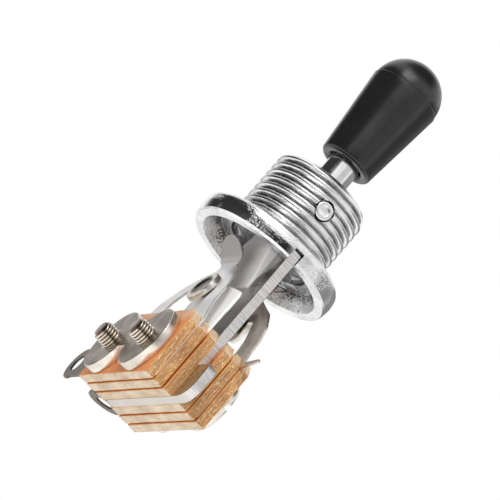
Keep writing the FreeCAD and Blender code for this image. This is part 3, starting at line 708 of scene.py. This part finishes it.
def makeCollar():
    c = collar
    edge = c["flange"] - c["bulge"]
    lower = roundPath([(c["rim"], -c["deep"], 0.15), (c["flange"] - c["rimBevel"], -c["deep"], 0.12),
                       (edge, c["rimBevel"] - c["deep"], 0.15), (c["flange"], -c["deep"] / 2, 2.0),
                       (edge, 0, c["soft"]), (c["barrel"], 0, 0.12)], closed=False, steps=6)
    wall = [(c["barrel"], z) for z in span(0.12, c["top"] - c["chamfer"], 118)]
    mouth = roundPath([(c["barrel"], c["top"] - c["chamfer"]), (c["barrel"] - c["chamfer"], c["top"], 0.12),
                       (c["mouth"], c["top"], 0.2), (c["mouth"], c["lip"], 0.05), (c["bore"], c["lip"]),
                       (c["bore"], c["wellTop"], 0.1), (c["well"], c["wellTop"], 0.1),
                       (c["well"], c["recess"], 0.15), (c["rim"] - c["slope"], c["recess"], 0.5),
                       (c["rim"], -c["deep"])], closed=False)
    start = roundPath([(c["rim"] - c["slope"], c["recess"]), (c["rim"], -c["deep"], 0.15),
                       (c["flange"], -c["deep"])], closed=False, steps=4)
    build = turnedPiece(start[1:-1] + lower[1:-1] + wall + mouth[1:-1], 144, True, collarShape)
    slot = cutterBlock((-12, -c["slotHalf"], -6), (12, c["slotHalf"], c["slotTop"]))
    finishMesh("threadedCollar", build, castChrome, stands=["bushing"], sharp=40,
               cutters=[slot, cutterRod(c["pinHole"], 7)])


makeCollar()
print("collar made")


# Pivot pin

pin = {"radius": 1.07, "half": 5.88, "soft": 0.26, "ring": 0.66, "ringWide": 0.14, "ringLow": 0.01,
       "dish": 0.07}


def makePivotPin():
    p = pin
    end = [(0, p["half"] - p["dish"]), (p["ring"] - p["ringWide"], p["half"] - p["dish"]),
           (p["ring"], p["half"] - p["ringLow"], 0.08), (p["radius"], p["half"], p["soft"])]
    low = [(radius, -height, *rest) for radius, height, *rest in end]
    build = turnedPiece(roundPath(low + end[::-1], closed=False, steps=4), 48)
    moveBuild(build, (0, 0, places["pinHigh"]), 90, "Y")
    finishMesh("pivotPin", build, metals["pinSteel"], stands=["pivot_pin"])


makePivotPin()


# Lever, foot and tip

lever = {"shaft": 1.85, "ball": 3.525, "top": 22.2, "endBevel": 0.2, "eye": 1.105, "tangHalf": (2.125, 0.75),
         "tangLow": -1.65, "tangTop": 3.0, "tangSoft": 0.08}


def makeShaft():
    v = lever
    pinHigh = places["pinHigh"]
    start = acos(v["shaft"] / v["ball"])
    arc = arcPoints((0, pinHigh), (v["ball"], v["ball"]), span(start, -pi / 2, 20))
    profile = [(0, v["top"]), (v["shaft"] - v["endBevel"], v["top"]), (v["shaft"], v["top"] - v["endBevel"])]
    profile += [(v["shaft"], z) for z in span(v["top"] - 1, arc[0][1] + 0.3, 8)]
    profile += arc[:-1] + [(0, pinHigh - v["ball"])]
    finishMesh("leverShaft", turnedPiece(profile, 96), metals["shaftChrome"], "lever",
               ["lever"], cutters=[cutterRod(v["eye"], 5)])
    x, y = v["tangHalf"]
    outline = roundPath(bothSides([(x, v["tangLow"], 0.3), (x, v["tangTop"])]))
    finishMesh("leverTang", flatLoops("leverTang", [outline], 2 * y, v["tangSoft"]), metals["shaftChrome"],
               "lever")


foot = {"top": 0.85, "low": -6.85, "flare": -1.75, "neckHalf": 3.325, "wideHalf": 4.35, "deepHalf": 1.625,
        "waistHalf": 0.875, "edgeHalf": 0.65, "knee": -5.0, "corner": 0.5, "soft": 0.25,
        "socket": (2.145, 0.77), "socketLow": -1.67}


def footSides():
    # half the foot's depth from below its edge to above its neck
    f = foot
    fall = (f["waistHalf"] - f["edgeHalf"]) / (f["knee"] - f["low"])
    return roundPath([(f["low"] - 1, f["edgeHalf"] - fall), (f["knee"], f["waistHalf"], 0.6),
                      (lever["tangLow"], f["deepHalf"], 0.6), (f["top"] + 1, f["deepHalf"])],
                     closed=False, steps=4)


def makeFoot():
    f = foot
    outline = roundPath(bothSides([(f["neckHalf"], f["top"], 0.25), (f["wideHalf"], f["flare"], 0.6),
                                   (f["wideHalf"], f["low"], f["corner"])]))
    build = flatLoops("leverFoot", [outline], 2.0, f["soft"], 4)
    sides = footSides()
    sliceAcross(build, 2, [point[0] for point in sides[1:-1]])
    for vert in build.verts:
        vert.co.y *= alongPath(sides, vert.co.z)
    x, y = f["socket"]
    evenNormals(finishMesh("leverFoot", build, greyMoulding, "lever", ["lever_foot"],
                           cutters=[cutterBlock((-x, -y, f["socketLow"]), (x, y, 3))]))


tip = {"base": 12.7, "long": 15.08, "lowHalf": 3.2, "wideHalf": 4.25, "step": 0.1, "round": 0.95,
       "dish": 2.325, "dishDeep": 0.55, "dishBevel": (0.08, 0.06), "bore": 1.97, "shaftTop": 22.4,
       "mouldFrom": 0.12, "mouldLine": [(0.005, 0.08), (0.03, 0.03), (0.11, 0.0)]}


def makeTip():
    t = tip
    mid = t["base"] + t["long"] - t["wideHalf"]
    dome = t["wideHalf"] - t["step"]
    body = roundPath([(t["dish"], t["base"]), (t["lowHalf"], t["base"], t["round"]),
                      (t["wideHalf"], mid - t["mouldFrom"])], closed=False, steps=9)
    side = [tuple(Vector(body[-2]).lerp(Vector(body[-1]), share)) for share in span(0.1, 0.9, 9)]
    lip = [(t["wideHalf"] - back, mid - down) for back, down in t["mouldLine"]]
    arc = arcPoints((0, mid), (dome, dome), span(0.03, pi / 2, 26))
    inside = [(0, t["shaftTop"]), (t["bore"], t["shaftTop"]), (t["bore"], t["base"] + t["dishDeep"]),
              (t["dish"] - t["dishBevel"][0], t["base"] + t["dishBevel"][1])]
    profile = inside + body[:-1] + side + [body[-1]] + lip + arc[:-1] + [(0, mid + dome)]
    finishMesh("switchTip", turnedPiece(profile, 112), glossBlack, "lever", ["lever_tip"], 50)


makeShaft()
makeFoot()
makeTip()
print("lever made")


# Frame plate

plate = {"thick": 1.2, "half": 8.65, "top": -1.2, "window": 4.825, "sill": -12.7, "ear": 13.15,
         "earTop": -18.5, "armRound": 0.5, "sillRound": 1.1, "earRound": 3.15, "earCorner": 1.0, "soft": 0.1}


def makeFrame():
    p = plate
    low = places["stackLow"]
    outline = roundPath([(-p["half"], p["top"], p["armRound"]), (-p["window"], p["top"], 0.15),
                         (-p["window"], p["sill"], p["sillRound"]), (p["window"], p["sill"], p["sillRound"]),
                         (p["window"], p["top"], 0.15), (p["half"], p["top"], p["armRound"]),
                         (p["half"], p["earTop"], 0.3), (p["ear"], p["earTop"], p["earCorner"]),
                         (p["ear"], low, p["earRound"]), (-p["half"], low, 0.2)], steps=8)
    build = flatLoops("framePlate", [outline] + screwCircles(places["screwHole"]), p["thick"], p["soft"], 3)
    evenNormals(finishMesh("framePlate", build, framePlating, stands=["frame_plate"],
                           sharp=50))


makeFrame()
print("frame plate made")


# Insulating boards

boards = {"half": 9.525, "thick": 1.21, "top": -14.05, "cut": 1.4, "soft": 0.06, "middle": -18.6,
          "edgeBand": 0.4, "edgeBack": 0.04, "ripple": 0.05, "rippleScale": Vector((0.9, 0.8, 0.9)),
          "seedStep": 7.3}
boardPlaces = [("board_1", 0.0, -3.975), ("board_2", -0.15, -2.575), ("board_3", 0.075, -1.175),
               ("board_4", 0.15, 1.175), ("board_5", -0.075, 2.575), ("board_6", 0.0, 3.975)]


def makeBoard(cadNode, shift, y, seed):
    b = boards
    low = places["stackLow"]
    outline = roundPath(bothSides([(b["half"], low, 0.12), (b["half"], b["top"] - b["cut"], 0.15),
                                   (b["half"] - b["cut"], b["top"], 0.15)]), steps=3)
    build = flatLoops(cadNode, [outline] + screwCircles(places["screwHole"], 24), b["thick"], b["soft"], 1)
    sliceAcross(build, 0, span(-8.8, 8.8, 23))
    sliceAcross(build, 2, span(-22.6, -14.6, 12))
    for vert in build.verts:  # sawn edges aren't quite straight
        x, z = vert.co.x, vert.co.z
        ripple = noise.noise(vert.co * b["rippleScale"] + Vector((seed, 0, 0)))
        atSide = abs(x) > b["half"] - b["cut"] - b["edgeBand"]
        if atSide or z > b["top"] - b["cut"] or z < low + b["edgeBand"]:
            towardMiddle = Vector((-x, 0, b["middle"] - z)).normalized()
            vert.co += towardMiddle * (b["edgeBack"] + b["ripple"] * ripple)
        vert.co += Vector((shift, y, 0))
    piece = "paperBoard" + cadNode[-1]
    evenNormals(finishMesh(piece, build, paperLaminate, stands=[cadNode], sharp=30))


for index, (cadNode, shift, y) in enumerate(boardPlaces):
    makeBoard(cadNode, shift, y, index * boards["seedStep"])
print("boards made")


# Spring leaves

leaf = {"thick": 0.25, "edge": 0.045, "seat": 3.275, "low": -22.6, "root": 9.2, "rootTop": -14.3,
        "tongue": 2.85, "tongueMid": -3.95, "tongueRise": 1.6, "tongueFoot": 50, "bend": -11.3,
        "kneeOut": 2.2, "knee": -4.75, "knuckle": 2.1, "knuckleLow": -5.8, "flareOut": 4.6, "flare": -2.3,
        "gapTop": 3.7, "gapRoot": 4.9, "gapLow": -13.35, "pad": 2.15, "softBend": 2.4, "lugHole": 1.1}


def springSide():
    # distance of the spring from the middle plane along its height
    f = leaf
    slope = (f["flareOut"] - f["kneeOut"]) / (f["flare"] - f["knee"])
    return roundPath([(-24.0, f["seat"]), (f["bend"], f["seat"], 2.0),
                      (f["knee"], f["kneeOut"], f["softBend"]),
                      (f["flare"] + 0.4, f["flareOut"] + 0.4 * slope)], closed=False, steps=10)


springPath = springSide()


def leafLine(z):
    return alongPath(springPath, z)


def evenSheet(mesh, side, line, reach=0.12):
    # both faces of a bent sheet take the normals of its smooth line
    normals = []
    for face in mesh.polygons:
        for index in face.loop_indices:
            z = mesh.vertices[mesh.loops[index].vertex_index].co.z / mm
            rise = (line(z + reach) - line(z - reach)) / (2 * reach)
            normal = Vector((0, 1, -side * rise)).normalized()
            facing = face.normal.dot(normal)
            normals.append(normal * copysign(1, facing) if abs(facing) > 0.93 else (0, 0, 0))
    mesh.normals_split_custom_set(normals)


def makeLeafSheet(name, cadNode, loops, side, line, material, body, lug, bends, tabBends):
    # a flat pattern bent to the spring's line, then thickened
    if lug["eye"]:
        loops = loops + [circlePoints((lug["side"] * lug["reach"], lug["low"]), leaf["lugHole"], 28)]
    build = flatLoops(name, loops)
    bmesh.ops.triangulate(build, faces=build.faces)
    sliceAcross(build, 2, bends)
    sliceAcross(build, 0, tabBends)
    twist = lug.get("twist")
    for vert in build.verts:
        x, z = vert.co.x, vert.co.z
        vert.co.y = side * line(z)
        if twist and x < twist["start"]:
            angle = twist["degrees"] * smooth(-x, -twist["start"], -twist["end"])
            centre = Vector((x, side * line(z), lug["low"]))
            vert.co = centre + Matrix.Rotation(radians(angle), 3, "X") @ (vert.co - centre)
    bmesh.ops.remove_doubles(build, verts=build.verts, dist=1e-4)
    bmesh.ops.dissolve_degenerate(build, edges=build.edges, dist=1e-5)
    piece = finishMesh(name, build, material, body, [cadNode], sheet=leaf)
    evenSheet(piece.data, side, line)


def eyeLoop(lug, rootX):
    # the outline of a solder lug, from the root's upper corner round the eye and back
    side, low, eye, half = lug["side"], lug["low"], lug["eye"], lug["neck"] / 2
    angle = asin(half / eye)
    arc = arcPoints((side * lug["reach"], low), (side * eye, eye),
                    span(3 * pi - angle, pi + angle, 30))
    return [(side * rootX, low + half)] + arc + [(side * rootX, low - half)]


def makeSpring(name, cadNode, side, lug):
    f = leaf
    rivet = places["contact"]
    right = [(f["root"], f["low"]), (f["root"], f["rootTop"], 0.4), *lug["shoulder"],
             (f["knuckle"], f["knuckleLow"], 0.8)]
    below = radians(f["tongueFoot"])
    crown = arcPoints((0, f["tongueMid"]), (f["tongue"], f["tongueRise"]), span(-below, pi + below, 37))
    outline = roundPath(right + crown + mirrored(right), steps=7)
    if lug["eye"]:
        outline = outline[:-1] + eyeLoop(lug, f["root"]) + outline[-1:]
    else:
        half = lug["neck"] / 2
        outline = [outline[0], (f["root"], lug["low"] - half), (lug["reach"], lug["low"] + 1.2 * half),
                   (lug["reach"] - 0.3, lug["low"] + 1.8 * half), (f["root"], lug["low"] + half),
                   *outline[1:]]
    # the window stops round the contact's pad
    pad = arcPoints((0, rivet), (f["pad"], f["pad"]), span(2 * pi, pi, 22))
    window = roundPath(bothSides([(f["gapRoot"], f["gapLow"], 0.4), (f["gapTop"], rivet + 0.1, 0.5),
                                  (f["pad"] + 0.12, rivet + 0.25, 0.2)], pad))
    tabs = span(-9.6, -15.2, 8) if lug["side"] < 0 else []
    makeLeafSheet(name, cadNode, [outline, window] + screwCircles(places["screwHole"]), side, leafLine,
                  metals["springMetal" if side < 0 else "rearSpringShadedMetal"], "between", lug,
                  span(-12.9, -6.4, 22) + span(-6.2, -3.4, 18) + span(-3.2, -2.6, 3), tabs)


frontLug = {"side": -1, "reach": 17.4, "low": -19.9, "eye": 2.15, "neck": 4.0,
            "shoulder": [(8.15, -13.1, 0.8), (6.15, -8.75, 3.0), (4.0, -6.75, 1.0)]}
rearTab = {"side": 1, "reach": 13.2, "low": -15.1, "eye": 0, "neck": 0.86,
           "shoulder": [(8.7, -13.0, 0.8), (8.1, -9.5, 2.5), (6.4, -7.75, 1.5), (4.0, -6.7, 1.0)]}
makeSpring("frontSpringLeaf", "front_spring", -1, frontLug)
makeSpring("rearSpringLeaf", "rear_spring", 1, rearTab)


fixedLeaf = {"seat": 1.875, "half": 8.6, "side": -9.05, "flat": 1.8, "peak": -7.45, "inner": 2.6,
             "step": -14.05}
innerLug = {"side": -1, "reach": 14.25, "low": -16.1, "eye": 2.15, "neck": 2.0}
backLug = {"side": -1, "reach": 17.0, "low": -20.95, "eye": 2.15, "neck": 2.0,
           "twist": {"start": -10.2, "end": -14.6, "degrees": -85}}


def makeFixedLeaf(name, cadNode, side, handed, lug):
    f = fixedLeaf
    corners = [(-f["half"], leaf["low"], 0.1), (f["half"], leaf["low"], 0.1), (f["half"], f["side"], 0.25),
               (f["flat"], f["peak"], 0.3), (-f["inner"], f["peak"], 0.3), (-f["inner"], f["step"], 0.2),
               (-f["half"], f["step"], 0.1)]
    if handed < 0:
        flipped = mirrored(corners)
        corners = flipped[-2:] + flipped[:-2]
    # the lug leaves the -X side: it goes in where the outline passes that side's lower corner
    outline = roundPath(corners, steps=4) + eyeLoop(lug, f["half"])
    makeLeafSheet(name, cadNode, [outline] + screwCircles(places["screwHole"]), side, lambda z: f["seat"],
                  metals["fixedLeafMetal"], "housing", lug, [], span(-9.8, -19.4, 22))


makeFixedLeaf("frontFixedLeaf", "front_fixed_leaf", -1, 1, innerLug)
makeFixedLeaf("rearFixedLeaf", "rear_fixed_leaf", 1, -1, backLug)
print("leaves made")


# Contacts

contact = {"headHalf": 2.15, "head": 0.4, "rim": 0.5, "slope": 0.45, "dish": 0.2, "dome": 0.05,
           "point": 0.95, "shank": 0.65, "lean": 9.3, "room": 0.46, "face": 0.15, "faceBevel": (0.07, 0.055)}


def makeMovingContact(name, cadNode, side):
    c = contact
    t = leaf["thick"] / 2
    top = t + c["head"]
    rim = c["headHalf"] - c["rim"]
    profile = roundPath([(0, -t - c["room"]), (c["point"], -t - c["room"], 0.12), (c["point"], -t),
                         (c["shank"], -t), (c["shank"], t), (c["headHalf"], t), (c["headHalf"], top, 0.16),
                         (rim, top, 0.12), (rim - c["slope"], top - c["dish"], 0.3),
                         (0, top - c["dish"] + c["dome"])], closed=False, steps=4)
    build = moveBuild(turnedPiece(profile, 56), (0, side * leafLine(places["contact"]), places["contact"]),
                      side * (c["lean"] - 90))
    finishMesh(name, build, metals["contactMetal"], "between", [cadNode], 30)


def makeFixedContact(name, cadNode, side):
    c = contact
    t = leaf["thick"] / 2
    top = t + c["face"]
    inward, down = c["faceBevel"]
    profile = [(0, -t), (c["shank"], -t), (c["shank"], t), (c["point"], t), (c["point"], top - down),
               (c["point"] - inward, top), (0, top)]
    build = moveBuild(turnedPiece(profile, 40), (0, side * fixedLeaf["seat"], places["contact"]), -90 * side)
    finishMesh(name, build, metals["contactMetal"], stands=[cadNode])


makeMovingContact("frontContactRivet", "front_moving_contact", -1)
makeMovingContact("rearContactRivet", "rear_moving_contact", 1)
makeFixedContact("frontFixedFace", "front_fixed_contact", -1)
makeFixedContact("rearFixedFace", "rear_fixed_contact", 1)
print("contacts made")


# Clamp plate and screws

clamp = {"lobe": 4.075, "notch": 18, "thick": 1.2, "face": -5.75, "soft": 0.13, "hole": 1.26}


def makeClamp():
    c = clamp
    meet = radians(c["notch"])
    radii = (c["lobe"], c["lobe"])
    outline = arcPoints(screwSpot(-1), radii, span(meet, 2 * pi - meet, 56))
    outline += arcPoints(screwSpot(1), radii, span(meet - pi, pi - meet, 56))
    build = flatLoops("clampPlate", [outline] + screwCircles(c["hole"], 36), c["thick"], c["soft"], 3)
    moveBuild(build, (0, c["face"] + c["thick"] / 2, 0))
    evenNormals(finishMesh("clampPlate", build, metals["clampMetal"],
                           stands=["clamp_plate"], sharp=45))


screw = {"radius": 1.25, "root": 1.03, "pitch": 0.37, "end": -7.5, "threadFrom": -5.0, "threadFade": 0.5,
         "head": 3.425, "headHigh": 1.2, "seat": 4.55, "soft": 0.5, "slotHalf": 0.425, "slotDeep": 0.65,
         "point": 0.55, "tipHalf": 0.6, "tipShare": 0.7}


def screwShape(radius, height, angle):
    # cuts the thread and narrows the screw's end
    s = screw
    if height > s["threadFrom"] or radius < s["root"] * 0.99:
        return radius, height
    fade = 1 - smooth(height, s["threadFrom"] - s["threadFade"], s["threadFrom"])
    wave = threadWave(height / s["pitch"] - angle / (2 * pi))
    full = smooth(height, s["end"] - 0.05, s["end"] + s["point"])
    r = radius - (s["radius"] - s["root"]) * (1 - wave) * fade
    return max(s["tipHalf"], r * (s["tipShare"] + (1 - s["tipShare"]) * full)), height


def makeScrews():
    s = screw
    low, high = s["end"], s["seat"]
    top = high + s["headHigh"]
    profile = [(0, low), (0.55, low), (0.85, low + 0.03)]
    profile += [(s["radius"], z) for z in span(low + 0.1, s["threadFrom"], 90)]
    profile += [(s["radius"], high), (s["head"] - 0.1, high), (s["head"], high + 0.1)]
    profile += roundPath([(s["head"], high + 0.2), (s["head"], top, s["soft"]), (0, top)],
                         closed=False, steps=7)
    for name, side, stands in (("stackScrewLeft", -1, ["stack_screws"]), ("stackScrewRight", 1, ())):
        x, z = screwSpot(side)
        build = moveBuild(turnedPiece(profile, 56, shape=screwShape), (x, 0, z), -90)
        slot = cutterBlock((x - 5, top - s["slotDeep"], z - s["slotHalf"]),
                           (x + 5, high + 4, z + s["slotHalf"]))
        finishMesh(name, build, metals["screwMetal"], stands=stands, cutters=[slot])


sleeve = {"inside": 1.29, "outside": 1.66, "half": 4.5}


def makeSleeves():
    s = sleeve
    profile = [(s["inside"], -s["half"]), (s["outside"], -s["half"]), (s["outside"], s["half"]),
               (s["inside"], s["half"])]
    build = bmesh.new()
    for side in (-1, 1):
        rings = spinProfile(build, profile, 32)
        skinRings(build, rings, True)
        x, z = screwSpot(side)
        moveBuild(build, (x, 0, z), -90, verts=[vert for ring in rings for vert in ring])
    finishMesh("screwSleeves", build, metals["sleeveTube"], stands=["screw_sleeves"])


makeClamp()
makeScrews()
makeSleeves()
print("clamp and screws made")


# Camera, light and floor

# the camera's directions and distance, the photo's pixels per millimetre at the pivot, and how many
# pixels the pivot lies to the right of the photo's middle and below it
shot = {"right": Vector((0.4073, 0.6699, 0.6208)), "down": Vector((-0.047, 0.6942, -0.7183)),
        "away": Vector((-0.9121, 0.2634, 0.3142)), "distance": 555.6, "scale": 9.148, "sensor": 36,
        "photo": 500, "pivot": Vector((0, 0, -2.59)), "offset": (8.25, 15.09)}


def makeCamera():
    s = shot
    where = s["pivot"] - s["away"] * s["distance"]
    across, down = [pixels / s["scale"] for pixels in s["offset"]]
    target = s["pivot"] - s["right"] * across - s["down"] * down
    forward = (target - where).normalized()
    right = forward.cross(-s["down"]).normalized()
    up = right.cross(forward)
    data = bpy.data.cameras.new("productCamera")
    data.lens = s["scale"] * s["distance"] * s["sensor"] / s["photo"]
    data.clip_start = 0.01
    data.clip_end = 20
    camera = newThing("productCamera", data)
    turn = Matrix((right, up, -forward)).transposed().to_4x4()
    camera.matrix_world = Matrix.Translation(where * mm) @ turn
    bpy.context.scene.camera = camera


light = {"ambient": 0.62, "floor": -200.0, "floorTone": 0.86, "floorGlow": 0.45}

# soft square lamps; the level is what a surface gets that faces the lamp
lamps = {"keyLamp": {"direction": (0.486, -0.625, 0.61), "distance": 600, "size": 260, "level": 0.5},
         "lowLamp": {"direction": (0.75, -0.38, -0.55), "distance": 300, "size": 200, "level": 0.32}}

# studio cards that only reflections see
cards = {
    "keyCard": {"azimuth": -50, "elevation": 42, "far": 600, "size": (520, 460), "tone": 3.6},
    "blackCard": {"azimuth": -102, "elevation": 18, "far": 520, "size": (1800, 560), "tone": 0.04,
                  "fade": 0.25},
    "lowBlackCard": {"azimuth": -38, "elevation": -16, "far": 560, "size": (1400, 430), "tone": 0.03,
                     "roll": -10, "fade": 0.04},
    "paleCard": {"azimuth": 22, "elevation": 16, "far": 700, "size": (760, 520), "tone": 0.66},
    "greyCardNear": {"azimuth": 88, "elevation": 14, "far": 640, "size": (760, 520), "tone": 0.32,
                     "fade": 0.2},
    "greyCardFar": {"azimuth": 140, "elevation": 14, "far": 620, "size": (700, 520), "tone": 0.28,
                    "fade": 0.2},
    "ceilingCard": {"azimuth": 0, "elevation": 88, "far": 460, "size": (700, 700), "tone": 0.06},
    "backCard": {"azimuth": -164, "elevation": -22, "far": 600, "size": (420, 460), "tone": 0.3}}


def seenDirectly(tree):
    # 1 for rays that show the surroundings themselves, seen or mirrored
    path = node(tree, "LightPath").outputs
    reflected = times(path["Is Glossy Ray"], mathNode("LESS_THAN", path["Diffuse Depth"], 0.5))
    seen = mathNode("MAXIMUM", path["Is Camera Ray"], reflected)
    return mathNode("MAXIMUM", seen, path["Is Transmission Ray"])


def makeWorld():
    world = bpy.data.worlds.new("studio")
    bpy.context.scene.world = world
    world.use_nodes = True
    tree = world.node_tree
    colour = mixColour(seenDirectly(tree), (*[light["ambient"]] * 3, 1), (1, 1, 1, 1))
    feed(tree.nodes["Background"].inputs, Color=colour, Strength=1.0)


def turnedTo(centre, facing):
    # the place and turn of a lamp or card whose Z side looks along facing
    return Matrix.Translation(centre * mm) @ facing.to_track_quat("Z", "Y").to_matrix().to_4x4()


def makeLamp(name, direction, distance, size, level):
    data = bpy.data.lights.new(name, "AREA")
    data.shape = "SQUARE"
    data.size = size * mm
    data.energy = level * pi * pi * (distance * mm) ** 2
    lamp = newThing(name, data)
    lamp.matrix_world = turnedTo(Vector(direction).normalized() * distance, Vector(direction))
    lamp.visible_glossy = False


def makeCard(name, azimuth, elevation, far, size, tone, roll=0, fade=0.3):
    build = bmesh.new()
    bmesh.ops.create_grid(build, x_segments=1, y_segments=1, size=0.5)
    card = newThing(name, meshFrom(name, build, 1))
    material = bpy.data.materials.new(name)
    material.use_nodes = True
    tree = material.node_tree
    tree.nodes.remove(tree.nodes["Principled BSDF"])
    parts = partsOf(node(tree, "TexCoord").outputs["Object"])
    across, upward = [rangeOf(mathNode("ABSOLUTE", parts[axis]), 0.5, 0.5 - fade)
                      for axis in "XY"]
    glow = node(tree, "Emission", Color=(tone, tone, tone, 1), Strength=1.0)
    blend = node(tree, "MixShader", i0=times(across, upward),
                 i1=node(tree, "BsdfTransparent").outputs[0], i2=glow.outputs[0])
    feed(tree.nodes["Material Output"].inputs, Surface=blend.outputs[0])
    card.data.materials.append(material)
    turn, rise = radians(azimuth), radians(elevation)
    toward = Vector((cos(turn) * cos(rise), sin(turn) * cos(rise), sin(rise)))
    card.matrix_world = (turnedTo(toward * far, -toward) @ Matrix.Rotation(radians(roll), 4, "Z")
                         @ Matrix.Diagonal((size[0] * mm, size[1] * mm, 1, 1)))
    for ray in ("camera", "diffuse", "shadow", "transmission"):
        setattr(card, "visible_" + ray, False)


def makeFloor():
    build = bmesh.new()
    bmesh.ops.create_grid(build, x_segments=4, y_segments=4, size=1.5)
    floor = newThing("floor", meshFrom("floor", build, 1))
    floor.location = (0, 0, light["floor"] * mm)
    material, shader, point = newMaterial("paleFloor", 0.0, [light["floorTone"]] * 3, 0.8)
    feed(shader, Emission_Color=(1, 1, 1, 1),
         Emission_Strength=times(seenDirectly(point.id_data), light["floorGlow"]))
    floor.data.materials.append(material)


makeCamera()
makeWorld()
for lampName, values in lamps.items():
    makeLamp(lampName, **values)
for cardName, values in cards.items():
    makeCard(cardName, **values)
makeFloor()
bpy.context.scene.view_settings.view_transform = "Standard"
print("camera and light made")
